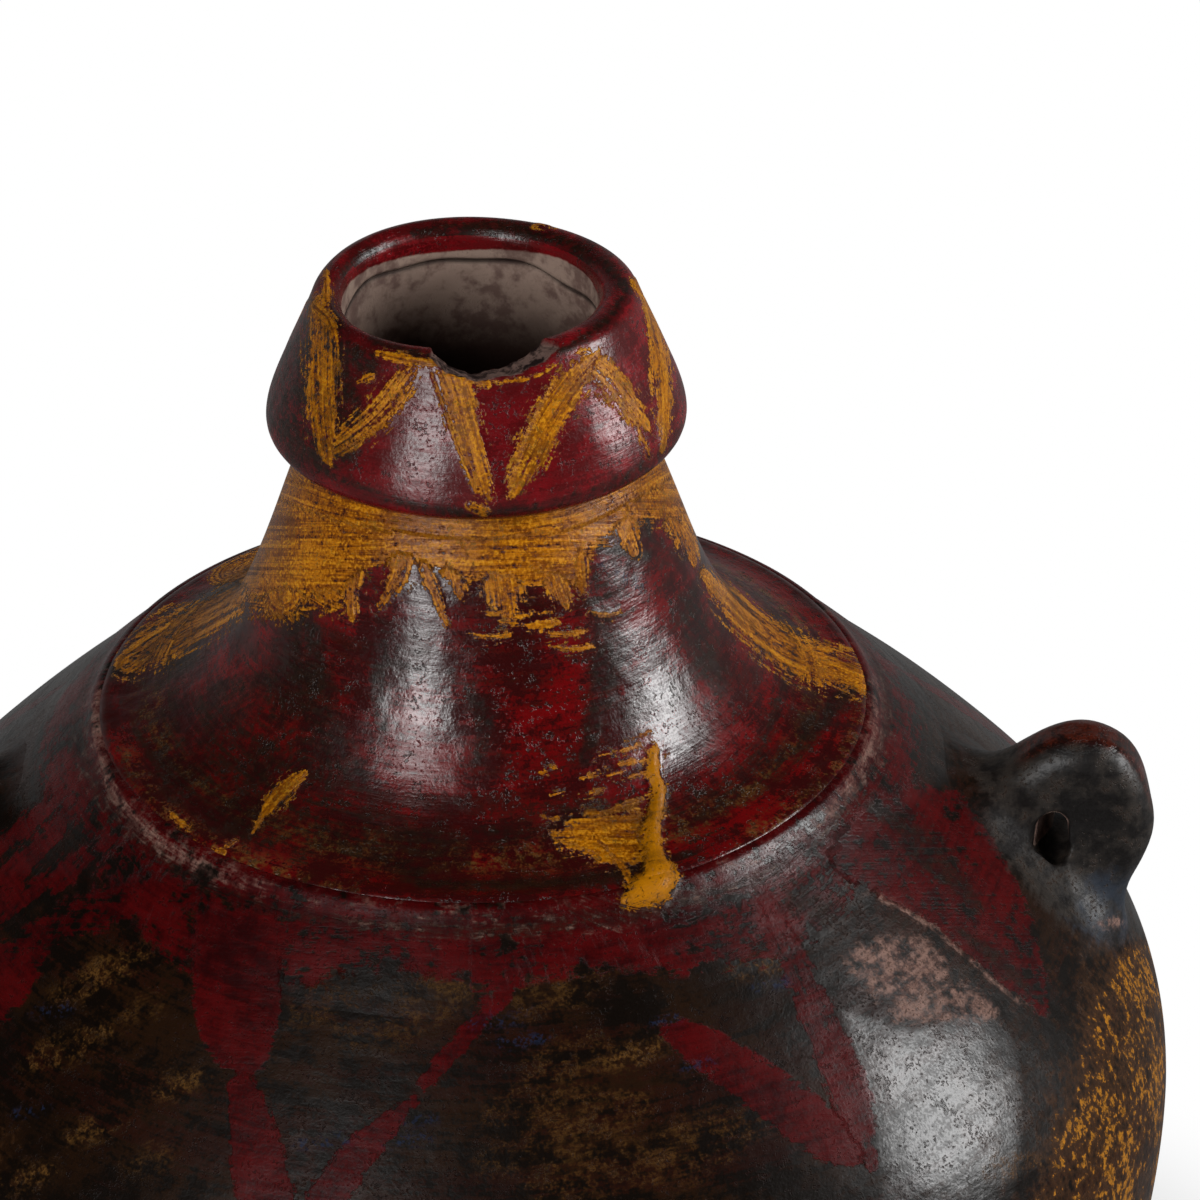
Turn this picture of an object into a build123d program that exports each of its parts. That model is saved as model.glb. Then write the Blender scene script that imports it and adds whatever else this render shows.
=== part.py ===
"""A round clay water jar with a flared neck cone, a wedge-shaped mouth collar and two pierced lugs.

The jar is built the way a potter builds it: a mould-made bowl and dome scarfed together at the belly,
a neck cone seated on the dome's mouth, a collar lapped round the neck's tube, a lute coil pressed
over the skirt joint, and two lugs keyed into the shoulder. Millimetres, +Z up, origin on the table
under the jar's axis, lugs on the X axis.
"""
from build123d import *
import math
import os

# Body: bowl and dome
BELLY_RADIUS = 215.0           # widest ring, outside
BELLY_HEIGHT = 200.0           # height of the widest ring above the table
FOOT_RADIUS = 79.0             # where the bowl's arc would reach the table
BELLY_ARC = 93.0               # radius of the arc from the widest ring up to the shoulder
SHOULDER_ARC = 576.0           # radius of the long, almost straight shoulder
SHOULDER_LEAN = 47.7           # degrees between upright and the wall's normal, where shoulder meets belly
BODY_WALL = 9.0
FLOOR_THICKNESS = 11.0
BASE_CORNER = 8.0              # rounding of the foot's edge
SCARF_RISE = 5.0               # the belly seam climbs this much from outside to inside

# Neck cone
SKIRT_RADIUS = 118.3           # outer edge of the skirt
SKIRT_MARGIN = 1.3             # the dome's mouth shows this much outside the skirt
SKIRT_EDGE_HEIGHT = 5.6        # height of the skirt's edge above the dome's mouth
SKIRT_EDGE_BULGE = 1.2         # roundness of that edge
SKIRT_SLOPE = 7.5              # degrees below level, at the skirt's edge
SKIRT_REACH = 47.0             # how far the skirt keeps close to that slope
SEAT_WIDTH = 10.0              # bevelled seat between the skirt and the dome's mouth
NECK_HEIGHT = 90.6             # from the skirt's edge up to the collar
NECK_STEP = 12.0               # the neck's outside, in from the collar's widest ring, where the collar begins
NECK_LEAN = 24.2               # degrees from upright, where the collar begins
NECK_REACH = 37.5              # how far the neck keeps close to that lean
NECK_WALL = 9.0
TUBE_WALL = 6.2                # thinned end of the neck, inside the collar

# Mouth collar
MOUTH_RADIUS = 38.3            # inside
RIM_WIDTH = 11.0               # from the mouth out to the rim's outside
RIM_ROUND = 6.1                # outer rounding of the rim
RIM_TURN = 20.0                # degrees above level where the rim's rounding runs into the collar's face
COLLAR_FLARE = 13.7            # widest ring of the collar, out from the rim
COLLAR_HEIGHT = 49.5           # from its lower edge on the neck up to the rim
COLLAR_NOSE_HEIGHT = 8.1       # widest ring above the lower edge
COLLAR_NOSE_ROUND = 6.9        # softness of the widest ring, above
COLLAR_UNDER_ROUND = 5.5       # softness of the widest ring, below
COLLAR_FACE_REACH = 16.0       # how far the face runs straight from the rim
COLLAR_FOOT_REACH = 3.6        # how softly the collar's underside runs onto the neck
LAP_DEPTH = 12.5               # the neck's tube ends this far below the rim

# Lute coil over the skirt joint
LUTE_START = 2.5               # along the shoulder, from the dome's mouth
LUTE_WIDTH = 10.5
LUTE_HEIGHT = 1.4

# Lugs
LUG_PLACE = 0.5346             # the lug's middle, as a share of the way from the skirt's edge to the belly
LUG_REACH = 43.0               # height of the ear above the shoulder
LUG_EAR_RADIUS = 23.0
LUG_UPPER_FLARE = 10.0         # degrees that the ear's upper flank leans out
LUG_LOWER_FLARE = 33.0         # degrees that the ear's lower flank leans out
LUG_THICKNESS = 25.0
LUG_EDGE_ROUND = 9.0
LUG_FOOT_MARGIN = 5.0          # oval foot past the ear's ends
LUG_FOOT_SPREAD = 7.0          # oval foot past the ear's sides
LUG_FOOT_HEIGHT = 3.4
LUG_FOOT_BEVEL = 3.0           # the foot's top draws in by this much
LUG_KEY_DEPTH = 1.2            # depth of the pocket in the dome that the foot is keyed into
LUG_HOLE_RADIUS = 5.5
LUG_HOLE_STANDOFF = 9.0        # from the shoulder's surface to the hole's axis

# Sizes that follow from those above
SHOULDER_MOUTH_RADIUS = SKIRT_RADIUS + SKIRT_MARGIN
RIM_RADIUS = MOUTH_RADIUS + RIM_WIDTH
COLLAR_RADIUS = RIM_RADIUS + COLLAR_FLARE
NECK_RADIUS = COLLAR_RADIUS - NECK_STEP
LUG_SEAT_RADIUS = SKIRT_RADIUS + LUG_PLACE * (BELLY_RADIUS - SKIRT_RADIUS)
BOWL_SPAN = BELLY_RADIUS - FOOT_RADIUS
BOWL_ARC = (BOWL_SPAN ** 2 + BELLY_HEIGHT ** 2) / (2 * BOWL_SPAN)  # upright at the belly, down to the foot
BELLY_CENTRE = (BELLY_RADIUS - BELLY_ARC, BELLY_HEIGHT)
BOWL_CENTRE = (BELLY_RADIUS - BOWL_ARC, BELLY_HEIGHT)


def spot(radius, height):
    """A point of a profile, in the X-Z half plane."""
    return Vector(radius, 0, height)


def leaning(centre, radius, lean):
    """The point of an arc whose outward normal leans this many degrees from upright."""
    turn = math.radians(lean)
    return spot(centre[0] + radius * math.sin(turn), centre[1] + radius * math.cos(turn))


def arc(centre, radius, lean_a, lean_b):
    """The stretch of an arc between two leans of its normal."""
    leans = (lean_a, (lean_a + lean_b) / 2, lean_b)
    return ThreePointArc(*[leaning(centre, radius, lean) for lean in leans])


def shoulder_centre():
    """Centre of the shoulder's arc, which carries on from the belly's arc without a kink."""
    meeting = leaning(BELLY_CENTRE, BELLY_ARC, SHOULDER_LEAN)
    turn = math.radians(SHOULDER_LEAN)
    return (meeting.X - SHOULDER_ARC * math.sin(turn), meeting.Z - SHOULDER_ARC * math.cos(turn))


SHOULDER_CENTRE = shoulder_centre()


def shoulder_lean_at(radius, inset):
    """Lean of the shoulder's normal at a distance from the jar's axis, this far inside the surface."""
    return math.degrees(math.asin((radius - SHOULDER_CENTRE[0]) / (SHOULDER_ARC - inset)))


def turned(edges):
    """A solid of revolution about the jar's axis from a closed profile."""
    return revolve(make_face(edges), axis=Axis.Z)


# Joints that two pieces share
MOUTH_LEAN = shoulder_lean_at(SHOULDER_MOUTH_RADIUS, 0)
DOME_MOUTH = leaning(SHOULDER_CENTRE, SHOULDER_ARC, MOUTH_LEAN)
SEAT_LEAN = shoulder_lean_at(SHOULDER_MOUTH_RADIUS - SEAT_WIDTH, BODY_WALL)
SEAT_INNER = leaning(SHOULDER_CENTRE, SHOULDER_ARC - BODY_WALL, SEAT_LEAN)
SEAM_LEAN = math.degrees(math.acos(SCARF_RISE / (BELLY_ARC - BODY_WALL)))
SEAM_OUTER = spot(BELLY_RADIUS, BELLY_HEIGHT)
SEAM_INNER = leaning(BELLY_CENTRE, BELLY_ARC - BODY_WALL, SEAM_LEAN)
SKIRT_EDGE = spot(SKIRT_RADIUS, DOME_MOUTH.Z + SKIRT_EDGE_HEIGHT)
NECK_TOP = spot(NECK_RADIUS, SKIRT_EDGE.Z + NECK_HEIGHT)
RIM_HEIGHT = NECK_TOP.Z + COLLAR_HEIGHT
TUBE_INNER = spot(MOUTH_RADIUS, RIM_HEIGHT - LAP_DEPTH)
TUBE_OUTER = spot(MOUTH_RADIUS + TUBE_WALL, RIM_HEIGHT - LAP_DEPTH)


def lower_bowl():
    """Mould-made lower half with a flat foot and floor, up to the scarf at the belly."""
    inner_arc = BOWL_ARC - BODY_WALL
    foot_lean = 180 - math.degrees(math.acos(BELLY_HEIGHT / BOWL_ARC))
    floor_lean = 180 - math.degrees(math.acos((BELLY_HEIGHT - FLOOR_THICKNESS) / inner_arc))
    foot = leaning(BOWL_CENTRE, BOWL_ARC, foot_lean)
    floor = leaning(BOWL_CENTRE, inner_arc, floor_lean)
    bowl = turned([
        Line(spot(0, 0), foot),
        arc(BOWL_CENTRE, BOWL_ARC, foot_lean, 90),
        Line(SEAM_OUTER, SEAM_INNER),
        arc(BELLY_CENTRE, BELLY_ARC - BODY_WALL, SEAM_LEAN, 90),
        arc(BOWL_CENTRE, inner_arc, 90, floor_lean),
        Line(floor, spot(0, FLOOR_THICKNESS)),
        Line(spot(0, FLOOR_THICKNESS), spot(0, 0)),
    ])
    foot_edge = bowl.edges().filter_by(GeomType.CIRCLE).sort_by(Axis.Z)[0]
    return fillet(foot_edge, BASE_CORNER)


def dome_wall():
    """Upper half of the body, from the belly scarf to the bevelled seat round its mouth."""
    inner_belly = BELLY_ARC - BODY_WALL
    inner_shoulder = SHOULDER_ARC - BODY_WALL
    return turned([
        arc(SHOULDER_CENTRE, SHOULDER_ARC, MOUTH_LEAN, SHOULDER_LEAN),
        arc(BELLY_CENTRE, BELLY_ARC, SHOULDER_LEAN, 90),
        Line(SEAM_OUTER, SEAM_INNER),
        arc(BELLY_CENTRE, inner_belly, SEAM_LEAN, SHOULDER_LEAN),
        arc(SHOULDER_CENTRE, inner_shoulder, SHOULDER_LEAN, SEAT_LEAN),
        Line(SEAT_INNER, DOME_MOUTH),
    ])


def keyed_core():
    """All that lies deeper than the lug pockets under the dome's outer surface."""
    top = leaning(SHOULDER_CENTRE, SHOULDER_ARC - LUG_KEY_DEPTH, MOUTH_LEAN)
    belly = leaning(BELLY_CENTRE, BELLY_ARC - LUG_KEY_DEPTH, 90)
    return turned([
        arc(SHOULDER_CENTRE, SHOULDER_ARC - LUG_KEY_DEPTH, MOUTH_LEAN, SHOULDER_LEAN),
        arc(BELLY_CENTRE, BELLY_ARC - LUG_KEY_DEPTH, SHOULDER_LEAN, 90),
        Line(belly, spot(0, belly.Z)),
        Line(spot(0, belly.Z), spot(0, top.Z)),
        Line(spot(0, top.Z), top),
    ])


def neck_cone():
    """Flared neck: a skirt bevelled onto the dome's mouth, and a thinned tube up inside the collar."""
    lean = math.radians(NECK_LEAN)
    slope = math.radians(SKIRT_SLOPE)
    neck_run = NECK_REACH * spot(math.sin(lean), -math.cos(lean))
    skirt_run = SKIRT_REACH * spot(-math.cos(slope), math.sin(slope))
    inner_top = spot(NECK_RADIUS - NECK_WALL / math.cos(lean), NECK_TOP.Z)
    seat = DOME_MOUTH - SEAT_INNER
    seat_outer = SEAT_INNER + seat * ((SKIRT_RADIUS - SEAT_INNER.X) / seat.X)
    bulge = spot(SKIRT_RADIUS + SKIRT_EDGE_BULGE, (SKIRT_EDGE.Z + seat_outer.Z) / 2)
    return turned([
        Line(TUBE_INNER, TUBE_OUTER),
        Line(TUBE_OUTER, NECK_TOP),
        Bezier(NECK_TOP, NECK_TOP + neck_run, SKIRT_EDGE + skirt_run, SKIRT_EDGE),
        ThreePointArc(SKIRT_EDGE, bulge, seat_outer),
        Line(seat_outer, SEAT_INNER),
        Bezier(SEAT_INNER, SEAT_INNER + skirt_run, inner_top + neck_run, inner_top),
        Line(inner_top, TUBE_INNER),
    ])


def mouth_collar():
    """Wedge-shaped collar lapped round the neck's tube, with the rounded rim."""
    rim_centre = (RIM_RADIUS - RIM_ROUND, RIM_HEIGHT - RIM_ROUND)
    crest = spot(rim_centre[0], RIM_HEIGHT)
    rim_end = leaning(rim_centre, RIM_ROUND, 90 - RIM_TURN)
    nose = spot(COLLAR_RADIUS, NECK_TOP.Z + COLLAR_NOSE_HEIGHT)
    face_run = COLLAR_FACE_REACH * (nose - rim_end).normalized()
    nose_run = spot(0, COLLAR_NOSE_ROUND)
    under_run = spot(0, -COLLAR_UNDER_ROUND)
    foot_run = COLLAR_FOOT_REACH * (nose - NECK_TOP).normalized()
    inner_round = crest.X - MOUTH_RADIUS
    lip = spot(MOUTH_RADIUS, RIM_HEIGHT - inner_round)
    return turned([
        arc(rim_centre, RIM_ROUND, 0, 90 - RIM_TURN),
        Bezier(rim_end, rim_end + face_run, nose + nose_run, nose),
        Bezier(nose, nose + under_run, NECK_TOP + foot_run, NECK_TOP),
        Line(NECK_TOP, TUBE_OUTER),
        Line(TUBE_OUTER, TUBE_INNER),
        Line(TUBE_INNER, lip),
        arc((crest.X, lip.Z), inner_round, -90, 0),
    ])


def lute_coil():
    """Roll of clay smoothed down on the shoulder, just outside the skirt's edge."""
    per_mm = math.degrees(1 / SHOULDER_ARC)
    start = MOUTH_LEAN + LUTE_START * per_mm
    end = start + LUTE_WIDTH * per_mm
    middle = (start + end) / 2
    return turned([
        arc(SHOULDER_CENTRE, SHOULDER_ARC, start, end),
        ThreePointArc(
            leaning(SHOULDER_CENTRE, SHOULDER_ARC, start),
            leaning(SHOULDER_CENTRE, SHOULDER_ARC + LUTE_HEIGHT, middle),
            leaning(SHOULDER_CENTRE, SHOULDER_ARC, end),
        ),
    ])


def lug():
    """Pierced ear on an oval foot, its underside cut to the shoulder and keyed into it, on +X."""
    lean = shoulder_lean_at(LUG_SEAT_RADIUS, 0)
    turn = math.radians(lean)
    seat = leaning(SHOULDER_CENTRE, SHOULDER_ARC, lean)
    outwards = spot(math.sin(turn), math.cos(turn))
    downhill = spot(math.cos(turn), -math.sin(turn))

    def place(along, height):
        return seat + downhill * along + outwards * height

    # The ear is a round lobe whose flanks run down past the shoulder's surface
    root = -BODY_WALL
    middle = LUG_REACH - LUG_EAR_RADIUS
    upper = math.radians(LUG_UPPER_FLARE)
    lower = math.radians(LUG_LOWER_FLARE)
    upper_side = (-LUG_EAR_RADIUS * math.cos(upper), middle + LUG_EAR_RADIUS * math.sin(upper))
    lower_side = (LUG_EAR_RADIUS * math.cos(lower), middle + LUG_EAR_RADIUS * math.sin(lower))

    def upper_flank(height):
        return upper_side[0] - (upper_side[1] - height) * math.tan(upper)

    def lower_flank(height):
        return lower_side[0] + (lower_side[1] - height) * math.tan(lower)

    outline = make_face([
        Line(place(upper_flank(root), root), place(*upper_side)),
        ThreePointArc(place(*upper_side), place(0, LUG_REACH), place(*lower_side)),
        Line(place(*lower_side), place(lower_flank(root), root)),
        Line(place(lower_flank(root), root), place(upper_flank(root), root)),
    ])
    ear = extrude(outline, amount=LUG_THICKNESS / 2, dir=(0, 1, 0), both=True)
    sides = ear.faces().filter_by(Axis.Y).edges()
    along_normal = Axis(seat, outwards)
    ear = fillet(sides.sort_by(along_normal)[2:], LUG_EDGE_ROUND)

    # The oval foot spreads past the ear on the shoulder
    foot_middle = (upper_flank(0) + lower_flank(0)) / 2
    half_length = (lower_flank(0) - upper_flank(0)) / 2 + LUG_FOOT_MARGIN
    half_width = LUG_THICKNESS / 2 + LUG_FOOT_SPREAD
    foot_plane = Plane(origin=place(foot_middle, 0), x_dir=downhill, z_dir=outwards)
    foot_oval = foot_plane * Ellipse(half_length, half_width)
    foot_top = foot_plane.offset(LUG_FOOT_HEIGHT) * Ellipse(
        half_length - LUG_FOOT_BEVEL, half_width - LUG_FOOT_BEVEL)
    foot = loft([foot_oval, foot_top], ruled=True) + extrude(foot_oval, amount=root, dir=outwards)

    hole_plane = Plane(origin=place(0, LUG_HOLE_STANDOFF), x_dir=(1, 0, 0), z_dir=(0, 1, 0))
    hole = extrude(hole_plane * Circle(LUG_HOLE_RADIUS), amount=half_width, both=True)
    return ear + foot - keyed_core() - hole


lug_right = lug()
lug_left = lug_right.rotate(Axis.Z, 180)
pieces = {
    "lower_bowl": lower_bowl(),
    "shoulder_dome": dome_wall() - lug_right - lug_left,
    "neck_cone": neck_cone(),
    "mouth_collar": mouth_collar(),
    "lute_coil": lute_coil(),
    "lug_right": lug_right,
    "lug_left": lug_left,
}

os.makedirs("parts", exist_ok=True)
for name, piece in pieces.items():
    export_step(piece, f"parts/{name}.step")
    print(name, "volume", round(piece.volume / 1000, 1), "cm3")

print("height of the rim", round(RIM_HEIGHT, 2), "mm")
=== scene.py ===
# %% [markdown]
# # A clay water jar
#
# The photo shows the upper half of an olla, a round-bellied Mexican water jar. Its maker pressed the
# bowl and the dome in moulds, set a flared neck cone on the dome, wrapped a wedge-shaped collar round
# the mouth and pressed two pierced lugs onto the shoulder. Then the jar was burnished, painted with a
# few quick strokes of ochre and red, and smoked in the firing.
#
# This lesson rebuilds its looks round the packed CAD part. We work in metres, in the part's own frame:
# +Z up, the lugs on X, and the photographed side towards -Y.

# %% The CAD part
import math

import bpy
import numpy as np
from mathutils import Matrix, Vector
from mathutils.kdtree import KDTree


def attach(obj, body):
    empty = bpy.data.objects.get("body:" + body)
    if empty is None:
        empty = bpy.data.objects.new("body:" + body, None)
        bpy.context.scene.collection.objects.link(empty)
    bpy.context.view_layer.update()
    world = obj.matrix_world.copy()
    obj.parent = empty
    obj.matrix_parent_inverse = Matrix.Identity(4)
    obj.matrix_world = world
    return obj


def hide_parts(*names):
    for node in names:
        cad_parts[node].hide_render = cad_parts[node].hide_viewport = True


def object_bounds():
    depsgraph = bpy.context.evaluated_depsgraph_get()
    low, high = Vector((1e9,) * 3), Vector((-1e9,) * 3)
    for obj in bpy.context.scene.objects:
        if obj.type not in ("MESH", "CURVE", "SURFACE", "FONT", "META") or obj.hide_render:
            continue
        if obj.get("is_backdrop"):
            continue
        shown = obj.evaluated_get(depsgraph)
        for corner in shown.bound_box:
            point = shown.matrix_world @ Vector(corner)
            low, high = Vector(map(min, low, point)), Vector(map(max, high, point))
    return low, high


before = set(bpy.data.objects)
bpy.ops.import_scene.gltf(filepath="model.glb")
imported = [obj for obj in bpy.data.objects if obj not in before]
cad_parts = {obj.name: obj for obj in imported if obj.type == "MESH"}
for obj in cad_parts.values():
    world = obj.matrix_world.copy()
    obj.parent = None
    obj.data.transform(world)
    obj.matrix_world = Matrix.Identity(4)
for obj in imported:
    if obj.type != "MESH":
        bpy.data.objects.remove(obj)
cad_low, cad_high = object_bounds()
print(len(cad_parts), "CAD pieces, box", [round(v, 4) for v in cad_low], [round(v, 4) for v in cad_high])

# %% [markdown]
# ## The camera comes first
#
# The brushwork on a hand-painted jar follows no rule, so the surest way to place it is to say where the
# photo shows each stroke. For that we need the camera before the jar. Its place was worked out from the
# outline of the jar in the photo: a long lens, 1.7 m from the mouth, looking down by 30 degrees.

# %% Camera
PHOTO_SIDE = 1200              # pixels
FOCAL = 5782.7                 # focal length in photo pixels
SENSOR = 36                    # mm
EYE_REACH = 1.5227             # from the jar's axis, level
EYE_HEIGHT = 1.2521
EYE_SIDE = 2.0                 # degrees round the jar, towards the right lug
PITCH, YAW, ROLL = 30.199, 1.364, 0.453

side = math.radians(EYE_SIDE)
eye = Vector((EYE_REACH * math.sin(side), -EYE_REACH * math.cos(side), EYE_HEIGHT))
eye_turn = (Matrix.Rotation(math.radians(EYE_SIDE - YAW), 3, "Z")
            @ Matrix.Rotation(math.radians(90 - PITCH), 3, "X")
            @ Matrix.Rotation(math.radians(-ROLL), 3, "Z"))
camera = bpy.data.objects.new("camera", bpy.data.cameras.new("camera"))
camera.data.sensor_width = SENSOR
camera.data.lens = FOCAL / PHOTO_SIDE * SENSOR
camera.matrix_world = Matrix.Translation(eye) @ eye_turn.to_4x4()
bpy.context.scene.collection.objects.link(camera)
bpy.context.scene.camera = camera


def photo_place(points):
    """Where the camera sees points of the jar, in photo pixels."""
    seen = (points - np.array(eye)) @ np.array(eye_turn)
    return PHOTO_SIDE / 2 + FOCAL * np.column_stack([seen[:, 0], -seen[:, 1]]) / -seen[:, 2:]


print("rim's front in the photo", photo_place(np.array([[0.0, -0.0493, 0.4683]])).round(1))

# %% [markdown]
# ## Half outlines
#
# Each big piece is a ring of clay with the same cross-section all the way round, so we draw its
# cross-section once, as (radius, height) points in millimetres, and turn it. The sizes are the CAD
# part's. The outer sides get many points because paint and light will be judged there, and the insides
# get few.

# %% Curves
def at_lean(centre, radius, lean):
    """Points of an arc whose outward normal leans this many degrees from upright."""
    turn = np.radians(lean)
    return np.column_stack([centre[0] + radius * np.sin(turn), centre[1] + radius * np.cos(turn)])


def arc(centre, radius, lean_a, lean_b, count):
    return at_lean(centre, radius, np.linspace(lean_a, lean_b, count))


def bezier(p0, p1, p2, p3, count):
    t = np.linspace(0, 1, count)[:, None]
    p0, p1, p2, p3 = map(np.array, (p0, p1, p2, p3))
    return (1 - t) ** 3 * p0 + 3 * t * (1 - t) ** 2 * p1 + 3 * t * t * (1 - t) * p2 + t ** 3 * p3


def line(p0, p1, count):
    return np.linspace(p0, p1, count)


def report_outline(title, outline):
    print(title, "outline has", len(outline), "points, widest", outline[:, 0].max().round(1), "mm")


print("an eighth of a circle ends at", arc((0, 0), 1, 0, 45, 9)[-1].round(3))

# %% [markdown]
# The body is two shells: a bowl with a flat foot, and a dome whose belly turns tightly and then runs up
# in a long, nearly flat shoulder. They meet at the widest ring in a slanting scarf.

# %% Body outlines
BELLY_RADIUS, BELLY_HEIGHT, BELLY_ARC = 215.0, 200.0, 93.0
FOOT_RADIUS = 79.0
BOWL_ARC = ((BELLY_RADIUS - FOOT_RADIUS) ** 2 + BELLY_HEIGHT ** 2) / (2 * (BELLY_RADIUS - FOOT_RADIUS))
SHOULDER_ARC, SHOULDER_LEAN = 576.0, 47.7
MOUTH_OUTER, MOUTH_INNER = 119.6, 109.6      # the dome's bevelled mouth, under the neck's skirt
SEAM_LEAN = 86.6                             # where the scarf ends inside
FOOT_EASE = 3.2                              # degrees before the foot where the bowl starts to round
WALL, FLOOR = 9.0, 11.0
RIM_HEIGHT = cad_high.z * 1000

belly_centre = (BELLY_RADIUS - BELLY_ARC, BELLY_HEIGHT)
bowl_centre = (BELLY_RADIUS - BOWL_ARC, BELLY_HEIGHT)
turn_point = at_lean(belly_centre, BELLY_ARC, SHOULDER_LEAN)[0]
turn_way = np.array([math.sin(math.radians(SHOULDER_LEAN)), math.cos(math.radians(SHOULDER_LEAN))])
shoulder_centre = tuple(turn_point - SHOULDER_ARC * turn_way)


def shoulder_lean(radius, inset=0.0):
    return math.degrees(math.asin((radius - shoulder_centre[0]) / (SHOULDER_ARC - inset)))


MOUTH_LEAN = shoulder_lean(MOUTH_OUTER)
dome_mouth = at_lean(shoulder_centre, SHOULDER_ARC, MOUTH_LEAN)[0]
seat_lean = shoulder_lean(MOUTH_INNER, WALL)
seat_inner = at_lean(shoulder_centre, SHOULDER_ARC - WALL, seat_lean)[0]
dome_outline = np.vstack([
    arc(shoulder_centre, SHOULDER_ARC, MOUTH_LEAN, SHOULDER_LEAN, 68),
    arc(belly_centre, BELLY_ARC, SHOULDER_LEAN, 89.97, 48)[1:],
    at_lean(belly_centre, BELLY_ARC, 90),
    arc(belly_centre, BELLY_ARC - WALL, SEAM_LEAN, SHOULDER_LEAN, 5),
    arc(shoulder_centre, SHOULDER_ARC - WALL, SHOULDER_LEAN, seat_lean, 8)[1:],
    [dome_mouth],
])
foot_lean = 180 - math.degrees(math.acos(BELLY_HEIGHT / BOWL_ARC))
floor_lean = 180 - math.degrees(math.acos((BELLY_HEIGHT - FLOOR) / (BOWL_ARC - WALL)))
foot_turn = at_lean(bowl_centre, BOWL_ARC, foot_lean - FOOT_EASE)[0]
bowl_outline = np.vstack([
    line((0, FLOOR), at_lean(bowl_centre, BOWL_ARC - WALL, floor_lean)[0], 6)[:-1],
    arc(bowl_centre, BOWL_ARC - WALL, floor_lean, 90, 24),
    arc(belly_centre, BELLY_ARC - WALL, 90, SEAM_LEAN, 2)[1:],
    at_lean(bowl_centre, BOWL_ARC, 90),
    arc(bowl_centre, BOWL_ARC, 90.03, foot_lean - FOOT_EASE, 96),
    bezier(foot_turn, (FOOT_RADIUS + 3, 2.5), (FOOT_RADIUS - 1, 0), (FOOT_RADIUS - 8, 0), 8)[1:],
    line((FOOT_RADIUS - 14, 0), (0, 0), 5),
])
report_outline("bowl", bowl_outline)
report_outline("dome", dome_outline)

# %% [markdown]
# The neck cone flares into a skirt that sits on the dome's bevel, and its tube goes up inside the
# collar. Long handles on the curves make the flare: straight at the top, nearly flat at the edge.

# %% Neck outline
SKIRT_RADIUS, SKIRT_LIFT = 118.3, 5.6        # its edge, and how far that stands above the dome's mouth
NECK_RADIUS, NECK_RISE = 51.0, 90.6          # under the collar, above the skirt's edge
TUBE_RADIUS, BORE_RADIUS = 44.5, 38.5
LIP_START, LIP_MIDDLE = 39.8, 38.9           # the tube's rounded inner edge
TUBE_DEPTH = 12.5                            # its end, below the rim
NECK_LEAN, SKIRT_SLOPE = math.radians(24.2), math.radians(7.5)

skirt_edge = np.array([SKIRT_RADIUS, dome_mouth[1] + SKIRT_LIFT])
neck_top = np.array([NECK_RADIUS, skirt_edge[1] + NECK_RISE])
tube_end = RIM_HEIGHT - TUBE_DEPTH
neck_run = 37.5 * np.array([math.sin(NECK_LEAN), -math.cos(NECK_LEAN)])
skirt_run = 47.0 * np.array([-math.cos(SKIRT_SLOPE), math.sin(SKIRT_SLOPE)])
skirt_turn = skirt_edge + (-4.0, 0.3)
inner_top = np.array([NECK_RADIUS - WALL / math.cos(NECK_LEAN), neck_top[1]])
seat = dome_mouth - seat_inner
seat_outer = seat_inner + seat * ((SKIRT_RADIUS - seat_inner[0]) / seat[0])
neck_outline = np.vstack([
    [(TUBE_RADIUS, tube_end)],
    bezier(neck_top, neck_top + neck_run, skirt_edge + skirt_run, skirt_turn, 94),
    bezier(skirt_turn, skirt_edge + (-1.4, -0.05), skirt_edge + (0.9, -1.0), seat_outer, 10)[1:],
    [seat_inner],
    bezier(seat_inner, seat_inner + skirt_run, inner_top + neck_run, inner_top, 12)[1:],
    line(inner_top, (BORE_RADIUS, tube_end - 1.2), 8)[1:],
    [(LIP_MIDDLE, tube_end - 0.3), (LIP_START, tube_end), (TUBE_RADIUS, tube_end)],
])
report_outline("neck", neck_outline)

# %% [markdown]
# The collar is a wedge wrapped round the tube: a thick nose below, a rounded rim above. The luting coil
# closes the joint between skirt and shoulder. The potter's thumb pressed it into a low cove that runs
# out down the shoulder.

# %% Collar and lute outlines
RIM_ROUND, RIM_INNER_ROUND, RIM_MIDDLE = 6.1, 4.9, 43.2
NOSE_RADIUS, NOSE_RISE = 63.0, 8.1           # the wedge's thickest place, above the neck's top
COLLAR_BORE = 38.3

rim_centre = (RIM_MIDDLE, RIM_HEIGHT - RIM_ROUND)
rim_end = at_lean(rim_centre, RIM_ROUND, 70)[0]
nose = np.array([NOSE_RADIUS, neck_top[1] + NOSE_RISE])
face_run = 16.0 * (nose - rim_end) / np.linalg.norm(nose - rim_end)
foot_run = 3.6 * (nose - neck_top) / np.linalg.norm(nose - neck_top)
collar_outline = np.vstack([
    arc(rim_centre, RIM_ROUND, 0, 70, 14),
    bezier(rim_end, rim_end + face_run, nose + (0, 6.9), nose, 58)[1:],
    bezier(nose, nose + (0, -5.5), neck_top + foot_run, neck_top, 16)[1:],
    [(TUBE_RADIUS, tube_end), (LIP_START, tube_end), (LIP_MIDDLE, tube_end + 0.4), (COLLAR_BORE, tube_end + 1.4)],
    line((COLLAR_BORE, tube_end + 2.2), (COLLAR_BORE, RIM_HEIGHT - RIM_INNER_ROUND), 7),
    arc((RIM_MIDDLE, RIM_HEIGHT - RIM_INNER_ROUND), RIM_INNER_ROUND, -90, 0, 10)[1:],
])
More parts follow.
